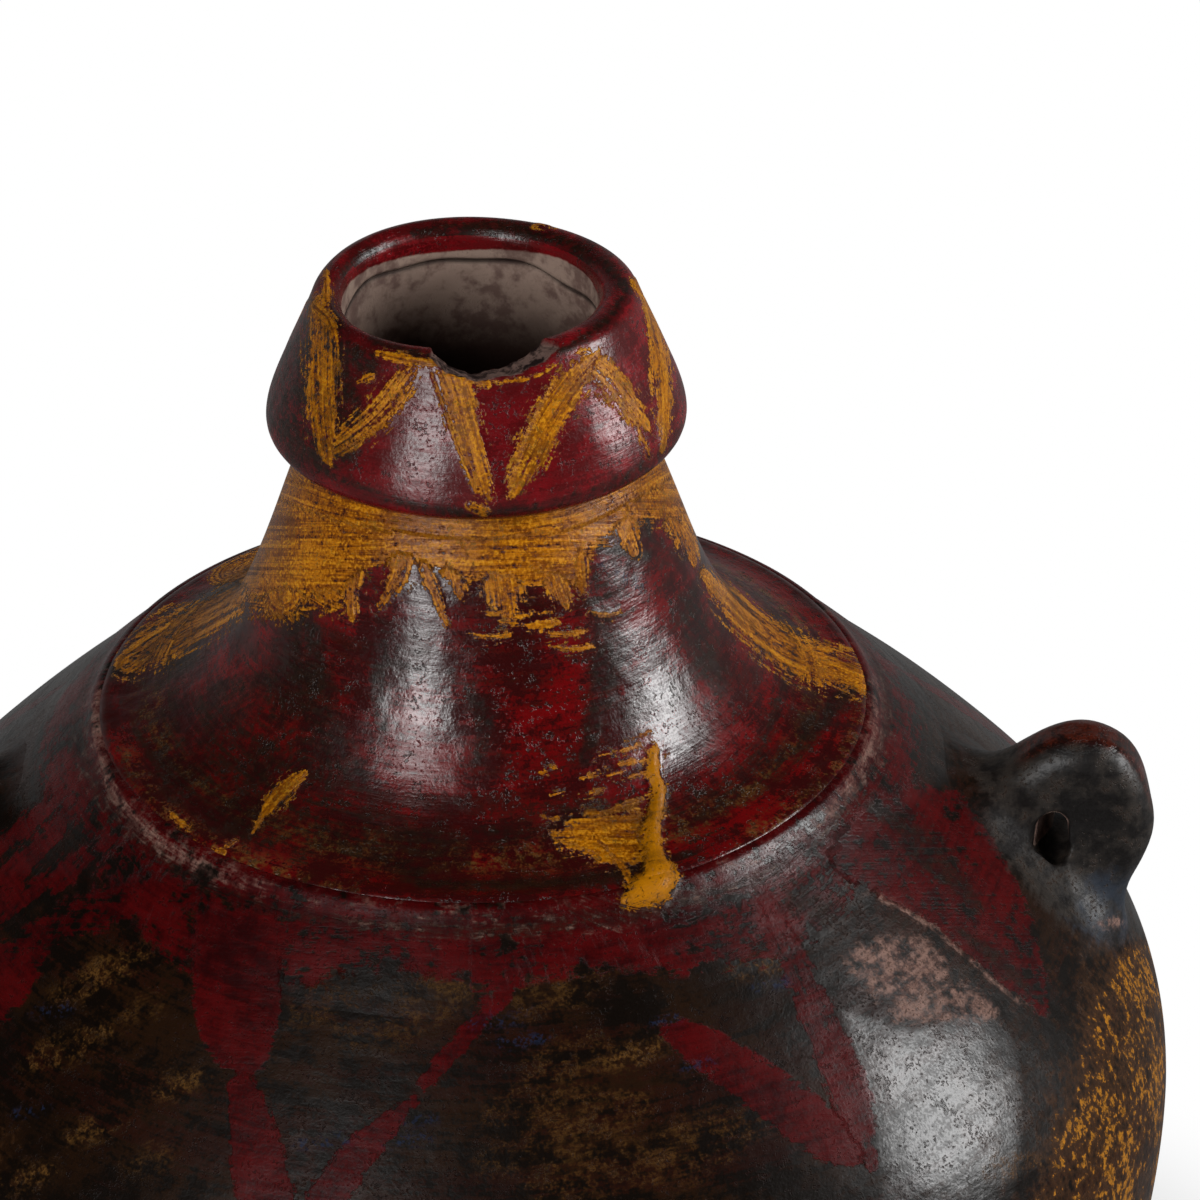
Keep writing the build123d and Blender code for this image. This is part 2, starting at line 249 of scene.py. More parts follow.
COVE = [(-5.0, 2.0), (-3.4, 2.9), (-2.0, 3.1), (-0.8, 2.85), (0.4, 2.5), (1.8, 2.15), (3.4, 1.9), (5.2, 1.75),
        (7.2, 1.65), (9.5, 1.55), (12.5, 1.4), (15.0, 1.2), (18.0, 0.95), (22.0, 0.6), (27.0, 0.2), (32.0, -0.1),
        (38.0, -0.5)]                        # down the shoulder from the dome's mouth, and above it
cove_lean = [MOUTH_LEAN + math.degrees(down / SHOULDER_ARC) for down, _ in COVE]
lute_outline = np.vstack([
    *[at_lean(shoulder_centre, SHOULDER_ARC + up, at) for at, (_, up) in zip(cove_lean, COVE)],
    arc(shoulder_centre, SHOULDER_ARC - 0.8, cove_lean[-1], cove_lean[0], 4),
    at_lean(shoulder_centre, SHOULDER_ARC + COVE[0][1], cove_lean[0]),
])
report_outline("collar", collar_outline)
report_outline("lute", lute_outline)

# %% [markdown]
# ## A lathe made of geometry nodes
#
# A potter's ring is never quite round. The node group below turns an outline about the jar's axis and
# then lets the wall wander by about half a millimetre, as a hand does. The wander is a smooth noise that
# depends only on the place in space, so two pieces that touch wander together and stay joined. Its
# strength, its scale and its seed are inputs, so that the next jar can come out different.

# %% Adding nodes
def add(tree, kind, inputs=(), **settings):
    """Adds a node, sets its properties, and feeds its sockets with links or plain values."""
    node = tree.nodes.new(kind)
    for name, value in settings.items():
        setattr(node, name, value)
    for key, value in dict(inputs).items():
        if isinstance(value, bpy.types.NodeSocket):
            tree.links.new(value, node.inputs[key])
        else:
            node.inputs[key].default_value = value
    return node


# %% [markdown]
# The group makes a grid with a column of points for each small turn and a row for each point of the
# outline. It looks each row's place up on the outline, turns it, and pushes it outwards by the wander.
# The last column falls on the first, and merging the two closes the ring.

# %% Lathe
WANDER = 0.0006                # metres, how far the wall strays


def lathe_group():
    """The node group: outline in, ring out."""
    tree = bpy.data.node_groups.new("Potter's lathe", "GeometryNodeTree")
    tree.interface.new_socket("Outline", in_out="INPUT", socket_type="NodeSocketGeometry")
    for name, kind, value in (("Columns", "Int", 720), ("Wander", "Float", WANDER),
                              ("Wander scale", "Float", 9.0), ("Seed", "Float", 4.0)):
        tree.interface.new_socket(name, in_out="INPUT", socket_type="NodeSocket" + kind).default_value = value
    tree.interface.new_socket("Finish", in_out="INPUT", socket_type="NodeSocketMaterial")
    tree.interface.new_socket("Ring", in_out="OUTPUT", socket_type="NodeSocketGeometry")
    given = add(tree, "NodeGroupInput").outputs

    rows = add(tree, "GeometryNodeAttributeDomainSize", {0: given["Outline"]}).outputs["Point Count"]
    columns = add(tree, "ShaderNodeMath", {0: given["Columns"], 1: 1}, operation="ADD").outputs[0]
    grid = add(tree, "GeometryNodeMeshGrid", {"Vertices X": columns, "Vertices Y": rows}).outputs[0]
    index = add(tree, "GeometryNodeInputIndex").outputs[0]
    row = add(tree, "ShaderNodeMath", {0: index, 1: rows}, operation="MODULO").outputs[0]
    column = add(tree, "ShaderNodeMath", {0: index, 1: row}, operation="SUBTRACT").outputs[0]
    column = add(tree, "ShaderNodeMath", {0: column, 1: rows}, operation="DIVIDE").outputs[0]
    small = add(tree, "ShaderNodeMath", {0: 2 * math.pi, 1: given["Columns"]}, operation="DIVIDE").outputs[0]
    turn = add(tree, "ShaderNodeMath", {0: column, 1: small}, operation="MULTIPLY").outputs[0]

    here = add(tree, "GeometryNodeInputPosition").outputs[0]
    spot = add(tree, "GeometryNodeSampleIndex", {"Geometry": given["Outline"], "Value": here, "Index": row},
               data_type="FLOAT_VECTOR").outputs[0]
    turned = add(tree, "ShaderNodeVectorRotate", {"Vector": spot, "Angle": turn}, rotation_type="Z_AXIS").outputs[0]
    outward = add(tree, "ShaderNodeVectorRotate", {"Vector": (0, -1, 0), "Angle": turn},
                  rotation_type="Z_AXIS").outputs[0]
    look = {"Vector": turned, "Scale": given["Wander scale"], "W": given["Seed"], "Detail": 2.0}
    wander = add(tree, "ShaderNodeTexNoise", look, noise_dimensions="4D").outputs[0]
    wander = add(tree, "ShaderNodeMath", {0: wander, 1: 4.0, 2: -2.0}, operation="MULTIPLY_ADD").outputs[0]
    wander = add(tree, "ShaderNodeMath", {0: wander, 1: given["Wander"]}, operation="MULTIPLY").outputs[0]
    front = add(tree, "ShaderNodeSeparateXYZ", {0: spot}).outputs["Y"]     # no wander on the axis, all at 25 mm
    off_axis = add(tree, "ShaderNodeMath", {0: front, 1: -40.0}, operation="MULTIPLY", use_clamp=True).outputs[0]
    wander = add(tree, "ShaderNodeMath", {0: wander, 1: off_axis}, operation="MULTIPLY").outputs[0]
    moved = add(tree, "ShaderNodeVectorMath", {0: outward, 1: wander, 2: turned},
                operation="MULTIPLY_ADD").outputs[0]

    ring = add(tree, "GeometryNodeSetPosition", {"Geometry": grid, "Position": moved}).outputs[0]
    ring = add(tree, "GeometryNodeMergeByDistance", {"Geometry": ring, "Distance": 1e-6}).outputs[0]
    ring = add(tree, "GeometryNodeFlipFaces", {0: ring}).outputs[0]
    ring = add(tree, "GeometryNodeSetShadeSmooth", {"Geometry": ring}).outputs[0]
    ring = add(tree, "GeometryNodeRealizeInstances", {"Geometry": ring}).outputs[0]
    ring = add(tree, "GeometryNodeSetMaterial", {"Geometry": ring, "Material": given["Finish"]}).outputs[0]
    add(tree, "NodeGroupOutput", {0: ring})
    return tree


LATHE = lathe_group()
print(LATHE.name, "has", len(LATHE.nodes), "nodes")

# %% [markdown]
# A turned ring is turned into a plain mesh at once, because paint strokes and the chip will be worked
# into its points.

# %% Turning a piece
def new_object(name, mesh):
    piece = bpy.data.objects.new(name, mesh)
    bpy.context.scene.collection.objects.link(piece)
    return piece


def lathe(name, outline, columns, finish):
    """Turns an outline in millimetres into a plain mesh piece in metres."""
    mesh = bpy.data.meshes.new(name)
    spots = [(0, -r / 1000, z / 1000) for r, z in outline]        # it starts on the photographed side
    mesh.from_pydata(spots, [(i, i + 1) for i in range(len(spots) - 1)], [])
    piece = new_object(name, mesh)
    modifier = piece.modifiers.new("lathe", "NODES")
    modifier.node_group = LATHE
    socket = {item.name: item.identifier for item in LATHE.interface.items_tree if item.in_out == "INPUT"}
    modifier[socket["Columns"]] = columns
    modifier[socket["Wander"]] = WANDER
    modifier[socket["Finish"]] = finish
    turned = piece.evaluated_get(bpy.context.evaluated_depsgraph_get())
    solid = bpy.data.meshes.new_from_object(turned)
    solid.name = name
    piece.modifiers.clear()
    piece.data = solid
    print(name, len(solid.vertices), "vertices,", sum(len(p.vertices) - 2 for p in solid.polygons), "triangles")
    return piece


def vertices_of(piece, what="co"):
    """Vertex places or normals as an array."""
    mesh = piece.data
    source = mesh.vertices if what == "co" else mesh.vertex_normals
    flat = np.empty(len(mesh.vertices) * 3, np.float32)
    source.foreach_get("co" if what == "co" else "vector", flat)
    return flat.reshape(-1, 3).astype(float)


def move_vertices(piece, places):
    piece.data.vertices.foreach_set("co", places.astype(np.float32).ravel())
    piece.data.update()


print("the hand strays by about", round(WANDER * 1000, 2), "mm")

# %% [markdown]
# ## Burnished, painted and smoked clay
#
# The clay was rubbed with a smooth stone before firing, which leaves a low, uneven gloss and fine lines
# round the jar. Iron-rich slip makes the red, ochre earth makes the yellow, and smoke darkens both
# unevenly. One recipe serves all the pieces: a mottled ground, burnishing bands, and paint layers on top.
# Where paint lies is stored on the mesh as a distance in millimetres to the stroke's edge, below zero
# under the paint. The recipe roughens that edge and lets the bristles show.

# %% Colours and layers
LAYERS = ("ochre", "red", "tan", "blue", "bare", "worn", "dark", "matte")      # distances to a stroke's edge
MASKS = ("inside", "deep", "seam", "chip", "smoke", "ridge", "run")            # shares from 0 to 1


def linear(code):
    """An sRGB hex code as the linear colour that nodes use."""
    parts = [int(code[i:i + 2], 16) / 255 for i in (1, 3, 5)]
    return tuple(c / 12.92 if c <= 0.04045 else ((c + 0.055) / 1.055) ** 2.4 for c in parts) + (1.0,)


print(len(LAYERS), "layers of paint and wear,", len(MASKS), "masks")

# %% [markdown]
# Every finish here is made of three moves. A value is *pushed* up and down by patterns, so that no edge
# is clean. A *share* turns it into 0 to 1 with a soft step. A *coat* lays a tone over what is below. The
# patterns are noises, listed with the size of their grains in millimetres.

# %% Recipe
class Recipe:
    """A material's node tree with its patterns, its stored layers and the moves of a finish."""

    def __init__(self, name, band, line_gap):
        self.material = bpy.data.materials.new(name)
        self.material.use_nodes = True
        tree = self.tree = self.material.node_tree
        tree.nodes.clear()
        place = add(tree, "ShaderNodeTexCoord").outputs["Object"]
        skin = add(tree, "ShaderNodeAttribute", attribute_name="skin").outputs["Vector"]
        stroke = add(tree, "ShaderNodeAttribute", attribute_name="stroke").outputs["Vector"]
        for title, vector, size, detail, roughness, shift in (
                ("clouds", place, (90.909, 90.909, 90.909), 3, 0.55, 0.0),    # smoke clouds
                ("blotch", place, (23.810, 23.810, 23.810), 5, 0.64, 3.1),
                ("lump", place, (13.333, 13.333, 13.333), 2, 0.50, 6.6),      # dents of the burnishing stone
                ("fleck", place, (5.2632, 5.2632, 5.2632), 5, 0.62, 7.7),
                ("speck", place, (2.3256, 2.3256, 2.3256), 4, 0.60, 4.4),
                ("grain", place, (0.90909, 0.90909, 0.90909), 2, 0.50, 1.3),  # sand, coarser than real, to show
                ("bands", skin, (142.86, 142.86, band), 4, 0.62, 5.2),        # long round the jar, narrow down it
                ("streak", skin, (31.250, 31.250, 1.9231), 4, 0.62, 9.4),
                ("fine", skin, (16.667, 16.667, line_gap), 3, 0.60, 2.4),     # the stone's lines
                ("bristle", stroke, (18.182, 1.1111, 1000), 5, 0.66, 0.0)):   # along the stroke, and across it
            scale = tuple(1000 / mm for mm in size)
            placed = add(tree, "ShaderNodeMapping", {0: vector, 1: (shift, shift, shift), 3: scale}).outputs[0]
            look = {"Vector": placed, "Scale": 1.0, "Detail": detail, "Roughness": roughness}
            setattr(self, title, add(tree, "ShaderNodeTexNoise", look).outputs[0])
        self.layer = {key: add(tree, "ShaderNodeAttribute", attribute_name=key).outputs["Fac"]
                      for key in LAYERS + MASKS}
        self.mottle = self.push(self.fleck, (self.grain, 0.5), (self.streak, 0.9))

    def push(self, value, *patterns):
        """A value, pushed up and down by patterns, each with its weight."""
        for pattern, weight in patterns:
            swing = add(self.tree, "ShaderNodeMath", {0: pattern, 1: weight, 2: -weight / 2},
                        operation="MULTIPLY_ADD").outputs[0]
            value = add(self.tree, "ShaderNodeMath", {0: value, 1: swing}, operation="ADD").outputs[0]
        return value

    def ragged(self, key, weight):
        """The distance to a stroke's edge, torn by specks and bristles."""
        return self.push(self.layer[key], (self.speck, weight), (self.bristle, weight))

    def share(self, value, low, high, *others):
        """0 at low, 1 at high and soft between, times other shares."""
        share = add(self.tree, "ShaderNodeMapRange", {0: value, 1: low, 2: high},
                    interpolation_type="SMOOTHSTEP").outputs[0]
        for other in others:
            share = add(self.tree, "ShaderNodeMath", {0: share, 1: other}, operation="MULTIPLY").outputs[0]
        return share

    def coat(self, under, where, tone, strength=1.0):
        """Lays a tone where the share is. It is a hex code, a link, or two tones and the share between."""
        if isinstance(tone, tuple):
            tone = self.coat(tone[0], tone[2], tone[1])
        if strength < 1:
            where = add(self.tree, "ShaderNodeMath", {0: where, 1: strength}, operation="MULTIPLY").outputs[0]
        under, tone = (linear(c) if isinstance(c, str) else c for c in (under, tone))
        return add(self.tree, "ShaderNodeMix", {0: where, 6: under, 7: tone}, data_type="RGBA").outputs[2]


print("moves of a finish:", [name for name in vars(Recipe) if not name.startswith("_")])

# %% [markdown]
# ### The ground and its wear
#
# Smoke leaves clouds in the clay, and the burnishing stone leaves bands round it. Where hands and
# carrying cords rubbed it, the yellow-brown clay comes through in specks, first as a haze.

# %% Ground and wear
def smoked_ground(clay, dark, mid, warm, band_share):
    """Blotches from dark to mid, warm bands of the burnishing stone, and dark smoke clouds."""
    colour = clay.coat(dark, clay.share(clay.push(clay.blotch, (clay.mottle, 0.7)), 0.40, 0.60), mid)
    bands = clay.share(clay.push(clay.bands, (clay.mottle, 0.8)), 0.47, 0.63)
    colour = clay.coat(colour, bands, warm, band_share)
    clouds = clay.share(clay.push(clay.clouds, (clay.mottle, 0.5)), 0.50, 0.66)
    return clay.coat(colour, clouds, dark, 0.6)


def rubbed_clay(clay, colour):
    """A brown haze, yellow specks where it wore through, and tan spots."""
    wear = clay.push(clay.blotch, (clay.fleck, 1.1), (clay.speck, 1.2), (clay.grain, 0.4),
                     (clay.layer["worn"], -0.10))
    colour = clay.coat(colour, clay.share(wear, 0.40, 0.95), "#432A16", 0.8)
    lit = clay.share(clay.push(clay.speck, (clay.grain, 0.9)), 0.35, 0.68)
    colour = clay.coat(colour, clay.share(wear, 0.88, 1.02), ("#633C06", "#B07316", lit), 0.85)
    spots = clay.share(clay.ragged("tan", 6.5), 2.4, -2.4)
    spots = clay.share(clay.push(clay.fleck, (clay.streak, 0.2), (clay.speck, 1.0)), 0.40, 0.68, spots)
    lit = clay.share(clay.push(clay.grain, (clay.blotch, 1.0)), 0.4, 0.6)
    return clay.coat(colour, spots, ("#2E1A0A", "#66461F", lit), 0.75)


STEPS = [rubbed_clay]
print("steps on the ground:", len(STEPS))

# %% [markdown]
# ### Red slip and soot
# The red strokes are dry at the bristles' gaps and patchy where the slip was thin. Soot leaves
# brown-black stains, and gathers on the lugs as charcoal with a blue cast. The same dark layer also
# carries painted shade: on the collar's left side, along the skirt's front edge and in a thin ring
# below the coil's ridge.

# %% Red slip, soot and painted shade
def red_strokes(clay, colour):
    """Red slip, patchy, and the blue flecks of the fire."""
    load = clay.share(clay.layer["red"], 0.7, -3.2, 0.9)
    hairs = clay.push(clay.bristle, (clay.speck, 0.9))
    patchy = clay.push(load, (clay.blotch, 1.5), (clay.fleck, 1.2), (hairs, 1.3))
    clay.red = clay.share(patchy, 0.10, 0.28, clay.share(clay.layer["red"], 1.0, 0.2))
    lit = clay.share(clay.push(clay.blotch, (clay.mottle, 0.8)), 0.22, 0.78)
    colour = clay.coat(colour, clay.red, ("#260203", "#4C0507", lit), 0.94)
    blue = clay.share(clay.ragged("blue", 6.0), 2.0, -2.0)
    blue = clay.share(clay.push(clay.speck, (clay.grain, 0.6)), 0.50, 0.62, blue)
    return clay.coat(colour, blue, "#182238", 0.7)


def soot_and_smoke(clay, colour):
    """Brown stains of soot and painted shade, then the charcoal of the lugs with their rubbed red ridge."""
    # soot stains, and painted shade from the dark strokes on the collar's left, the skirt's front edge and below the
    # coil
    clay.stain = clay.share(clay.ragged("dark", 6.0), 1.2, -3.6)
    brown = ("#120A07", "#26160E", clay.share(clay.mottle, 0.42, 0.62))
    colour = clay.coat(colour, clay.share(clay.mottle, 0.16, 0.50, clay.stain), brown)
    soot = clay.coat("#141110", clay.share(clay.push(clay.blotch, (clay.fleck, 1.0)), 0.36, 0.64), "#2E2925")
    soot = clay.coat(soot, clay.share(clay.push(clay.clouds, (clay.blotch, 0.8)), 0.54, 0.66), "#232C38", 0.75)
    soot = clay.coat(soot, clay.share(clay.push(clay.fleck, (clay.grain, 0.5)), 0.58, 0.68), "#4A3A30", 0.5)
    soot = clay.coat(soot, clay.layer["ridge"], ("#1E0D09", "#42180E", clay.share(clay.mottle, 0.4, 0.6)))
    return clay.coat(colour, clay.share(clay.push(clay.layer["smoke"], (clay.mottle, 0.9)), 0.25, 0.75), soot)


STEPS += [red_strokes, soot_and_smoke]
print("steps on the ground:", len(STEPS))

# %% [markdown]
# ### Ochre
#
# The ochre is deep in the bristles' furrows, light on their ridges, and thin and dry at the edges. Soot,
# and painted shade on the collar's left side, dull it again in places. The thick run is smooth, because
# it flowed after it was laid on.

# %% Ochre
def ochre_strokes(clay, colour):
    """Ochre in three tones, the smooth thick run, and soot and painted shade on top."""
    texture = clay.push(clay.bristle, (clay.speck, 0.7), (clay.fleck, 0.35), (clay.grain, 0.5))
    load = clay.share(clay.layer["ochre"], 0.9, -3.4, clay.push(1.0, (clay.blotch, 0.8)), 0.70)
    clay.ochre = clay.share(clay.push(load, (texture, 1.9)), 0.18, 0.40, clay.share(clay.layer["ochre"], 1.2, 0.2))
    tone = clay.coat("#6E3804", clay.share(texture, 0.3684, 0.6316), "#B26C08")
    tone = clay.coat(tone, clay.share(clay.push(clay.blotch, (clay.speck, 1.0)), 0.46, 0.70), "#4A2304", 0.7)
    tone = clay.coat(tone, clay.share(clay.push(clay.grain, (clay.bristle, 0.8)), 0.54, 0.72), "#D2941E", 0.55)
    thick = ("#AE6E06", "#472405", clay.share(clay.speck, 0.62, 0.68))
    tone = clay.coat(tone, clay.layer["run"], thick, 0.9)
    colour = clay.coat(colour, clay.ochre, tone)
    # soot stains and painted shade over the ochre
    return clay.coat(colour, clay.share(clay.mottle, 0.30, 0.66, clay.stain), "#1C0E07", 0.6)


STEPS += [ochre_strokes]
print("steps on the ground:", len(STEPS))

# %% [markdown]
# ### Bare clay, painted sheen and painted shade
#
# Slip that was scraped or chipped off shows pinkish clay, and the same pale tone is painted sheen along
# the coil's ridge. Dark pits are everywhere. Inside the mouth there is no slip at all: pale clay at the top,
# and painted shade that darkens it further down. The lug's hole has the same painted shade towards its middle.

# %% Bare clay, painted sheen and painted shade
def bare_clay(clay, colour):
    """Scuffs down to the pinkish clay, pale painted sheen along the coil's ridge, and dark pits."""
    # bare clay, and pale painted sheen along the coil's ridge
    clay.bare = clay.share(clay.ragged("bare", 6.0), 1.2, -1.2)
    clay.bare = clay.share(clay.push(clay.fleck, (clay.speck, 0.8)), 0.32, 0.62, clay.bare)
    colour = clay.coat(colour, clay.bare, ("#553C36", "#907064", clay.share(clay.mottle, 0.34, 0.66)), 0.75)
    clay.pits = clay.share(clay.push(clay.fleck, (clay.grain, 0.8)), 0.62, 0.72)
    return clay.coat(colour, clay.pits, "#0E0806", 0.6)


def mouth_clay(clay, colour):
    """The unslipped inside with painted shade further down, its dark seam, and the broken rim."""
    inside = clay.coat("#6C564E", clay.share(clay.push(clay.blotch, (clay.fleck, 0.8)), 0.38, 0.62), "#988275")
    # painted shade: the clay inside darkens further down the mouth and towards the middle of a lug's hole
    smoked = clay.share(clay.push(clay.layer["deep"], (clay.blotch, 0.4)), 0.0, 0.85)
    inside = clay.coat(inside, smoked, "#261813")
    inside = clay.coat(inside, clay.layer["seam"], "#150D0B", 0.8)
    colour = clay.coat(colour, clay.share(clay.push(clay.layer["inside"], (clay.fleck, 0.9)), 0.3, 0.7), inside)
    return clay.coat(colour, clay.layer["chip"], ("#1E1413", "#6E5850", clay.share(clay.mottle, 0.36, 0.64)))


STEPS += [bare_clay, mouth_clay]
print("steps on the ground:", len(STEPS))

# %% [markdown]
# ### Gloss and fine relief
#
# Burnished clay is a dielectric with a low, broken gloss. Paint is flatter, soot and bare clay are dull.
# Relief too fine for the mesh goes into the bump: grain, pits, the stone's lines and brush furrows.

# %% Gloss and relief
def gloss_of(clay, gloss, shine):
    """The roughness, and how much of the light is mirrored."""
    tree, layer = clay.tree, clay.layer
    matte = clay.share(clay.ragged("matte", 2.0), 1.6, -1.6)
    speckle = clay.share(clay.push(clay.grain, (clay.fine, 0.9), (clay.speck, 0.4)), 0.40, 0.66)
    dull = layer["chip"]
    for cover, most in ((clay.bare, 0.5), (layer["inside"], 0.9)):
        cover = add(tree, "ShaderNodeMath", {0: cover, 1: most}, operation="MULTIPLY").outputs[0]
        dull = add(tree, "ShaderNodeMath", {0: dull, 1: cover}, operation="MAXIMUM").outputs[0]
    rough = gloss
    for cover, more in ((speckle, 0.06), (layer["smoke"], 0.16), (clay.ochre, 0.06), (matte, 0.12),
                        (clay.stain, 0.06), (layer["ridge"], -0.22)):
        rough = add(tree, "ShaderNodeMath", {0: cover, 1: more, 2: rough}, operation="MULTIPLY_ADD").outputs[0]
    dulled = add(tree, "ShaderNodeMath", {0: dull, 1: 0.75}, operation="MULTIPLY").outputs[0]
    rough = add(tree, "ShaderNodeMath", {0: rough, 1: dulled}, operation="MAXIMUM").outputs[0]
    flat = add(tree, "ShaderNodeMath", {0: clay.ochre, 1: 0.55}, operation="MULTIPLY").outputs[0]
    covered = add(tree, "ShaderNodeMath", {0: dull, 1: 0.8}, operation="MULTIPLY").outputs[0]
    covered = add(tree, "ShaderNodeMath", {0: covered, 1: flat}, operation="MAXIMUM").outputs[0]
    glint = clay.push(shine, (speckle, -0.12))
    for cover, loss in ((matte, 0.70), (covered, 1.0), (clay.red, 0.25)):
        kept = add(tree, "ShaderNodeMath", {0: cover, 1: -loss, 2: 1.0}, operation="MULTIPLY_ADD").outputs[0]
        glint = add(tree, "ShaderNodeMath", {0: glint, 1: kept}, operation="MULTIPLY").outputs[0]
    glint = add(tree, "ShaderNodeMath", {0: layer["ridge"], 1: 0.3, 2: glint}, operation="MULTIPLY_ADD").outputs[0]
    return rough, glint


def relief_of(clay, relief):
    """The bump of what is too fine for the mesh."""
    tree, height = clay.tree, 0.0
    for pattern, rise in ((clay.grain, 0.20), (clay.fine, 0.30), (clay.fleck, 0.45 * relief),
                          (clay.lump, 2.4 * relief), (clay.pits, -0.4 * relief)):
        height = add(tree, "ShaderNodeMath", {0: pattern, 1: rise, 2: height}, operation="MULTIPLY_ADD").outputs[0]
    thin = add(tree, "ShaderNodeMath", {0: clay.red, 1: 0.25}, operation="MULTIPLY").outputs[0]
    paint = add(tree, "ShaderNodeMath", {0: clay.ochre, 1: thin}, operation="MAXIMUM").outputs[0]
    furrows = add(tree, "ShaderNodeMath", {0: paint, 1: clay.bristle}, operation="MULTIPLY").outputs[0]
    height = add(tree, "ShaderNodeMath", {0: furrows, 1: 1.1, 2: height}, operation="MULTIPLY_ADD").outputs[0]
    return add(tree, "ShaderNodeBump", {"Strength": 0.85, "Distance": 0.0004, "Height": height}).outputs[0]


print(len(STEPS), "steps of colour, then gloss and relief")

# %% [markdown]
# ### Four finishes
#
# The recipe works from the ground up, in the order the potter and the years worked. The body was smoked
# nearly black. The neck and the collar keep more of their red slip, and the collar most of all. The lugs
# took the most smoke, and fingers rubbed them dull.

# %% Finishes
def painted_clay(name, dark, mid, warm, band, band_share, gloss, shine, line_gap, relief):
    """Burnished clay with its paint. Bands and lines of the stone are in millimetres, the gloss is a
    roughness, the shine is how much light is mirrored, and the relief is how uneven the clay is."""
    clay = Recipe(name, band, line_gap)
    colour = smoked_ground(clay, dark, mid, warm, band_share)
    for work in STEPS:
        colour = work(clay, colour)
    rough, glint = gloss_of(clay, gloss, shine)
    look = {"Base Color": colour, "Roughness": rough, "IOR": 1.5, "Specular IOR Level": glint,
            "Normal": relief_of(clay, relief)}
    surface = add(clay.tree, "ShaderNodeBsdfPrincipled", look).outputs[0]
    add(clay.tree, "ShaderNodeOutputMaterial", {"Surface": surface})
    print(name, "has", len(clay.tree.nodes), "nodes")
    return clay.material


body_clay = painted_clay(              # near black, brown where the smoke is thin, with a broken gloss
    "smoked burnished clay", dark="#0C0603", mid="#201005", warm="#260A05", band=16.667, band_share=0.5,
    gloss=0.24, shine=0.32, line_gap=3.3333, relief=0.6)
neck_slip = painted_clay(              # deep red with smoke-brown bands, the glossiest part of the jar
    "burnished red slip", dark="#300606", mid="#620406", warm="#1E0E08", band=9.0909, band_share=0.75,
    gloss=0.17, shine=0.46, line_gap=1.4286, relief=0.75)
collar_slip = painted_clay(            # the clearest red, a little rubbed
    "red slip of the collar", dark="#4A0A0C", mid="#7A0C14", warm="#331210", band=11.111, band_share=0.5,
    gloss=0.22, shine=0.33, line_gap=1.25, relief=0.75)
lug_clay = painted_clay(               # charcoal with a blue cast, dull from handling
    "blue-black smoked clay", dark="#0C0603", mid="#201005", warm="#260A05", band=16.667, band_share=0.5,
    gloss=0.28, shine=0.28, line_gap=4.0, relief=1.0)

# %% [markdown]
# ## Turning the five rings
#
# The bowl is outside the photo, so a coarser mesh is enough for its guessed scuffs and soot. The collar
# and the neck need the finest mesh: a brush stroke on them is about 8 mm wide, and its edge has to look
# crisp from half an arm's length.

# %% Rings
bowl = lathe("bowl_ring", bowl_outline, 480, body_clay)
dome = lathe("dome_ring", dome_outline, 720, body_clay)
neck = lathe("neck_ring", neck_outline, 720, neck_slip)
collar = lathe("collar_ring", collar_outline, 720, collar_slip)
lute = lathe("lute_ring", lute_outline, 720, body_clay)

# %% [markdown]
# ## The pierced lugs
#
# A lug is a lump of clay, pressed onto the shoulder, pinched into an ear and pierced with a finger or a
# stick while wet. Nothing about it is turned, so we describe it as a distance field: an ear-shaped slab
# with soft edges, a thumb-smeared root that runs out onto the shoulder, and a hole like a drop. Then we
# lay a net of quads on the surface where the distance is zero.

# %% Surface net
def surface_net(field, low, pitch):
    """Closed quads on the zero level of a sampled field that is below zero inside."""
    cells = np.array(field.shape) - 1
    total, count = np.zeros((*cells, 3)), np.zeros(cells)
    below = field < 0
    for axis in range(3):                # where the surface crosses the edges of each cell
        others = [a for a in range(3) if a != axis]
        for first in (0, 1):
            for second in (0, 1):
                start = [slice(None)] * 3
                start[axis] = slice(0, -1)
                start[others[0]] = slice(first, cells[others[0]] + first)
                start[others[1]] = slice(second, cells[others[1]] + second)
                stop = list(start)
                stop[axis] = slice(1, None)
                a, b = field[tuple(start)], field[tuple(stop)]
                crossed = (a < 0) != (b < 0)
                share = np.where(crossed, a / np.where(crossed, a - b, 1), 0)
                spot = np.zeros((*cells, 3))
                spot[..., axis], spot[..., others[0]], spot[..., others[1]] = share, first, second
                total += spot * crossed[..., None]
                count += crossed
    used = count > 0                     # one point per crossed cell, at the crossings' mean
    number = np.full(cells, -1)
    number[used] = np.arange(used.sum())
    spots = (np.argwhere(used) + total[used] / count[used][:, None]) * pitch + low
    quads = []
    for axis in range(3):                # and one quad round each crossed edge
        one, two = [(1, 2), (2, 0), (0, 1)][axis]
        near = [slice(1, -1)] * 3
        near[axis] = slice(0, -1)
        far = list(near)
        far[axis] = slice(1, None)
        flips = below[tuple(near)] != below[tuple(far)]
        at = np.argwhere(flips) + 1
        at[:, axis] -= 1
        ring = []
        for back_one, back_two in ((1, 1), (0, 1), (0, 0), (1, 0)):
            cell = at.copy()
            cell[:, one] -= back_one
            cell[:, two] -= back_two
            ring.append(number[tuple(cell.T)])
        ring = np.column_stack(ring)
        outward = below[tuple(near)][flips]
        ring[~outward] = ring[~outward][:, ::-1]
        quads.append(ring)
    return spots, np.vstack(quads)


ball = np.linalg.norm(np.indices((9, 9, 9)) - 4, axis=0) - 3
print("a small ball's net has", len(surface_net(ball, 0, 1)[1]), "quads")

# %% [markdown]
# Distances are easy to combine: the smaller of two joins the shapes, the larger cuts them, and a soft
# version of the smaller leaves a fillet. The strokes of paint will use the same helpers.

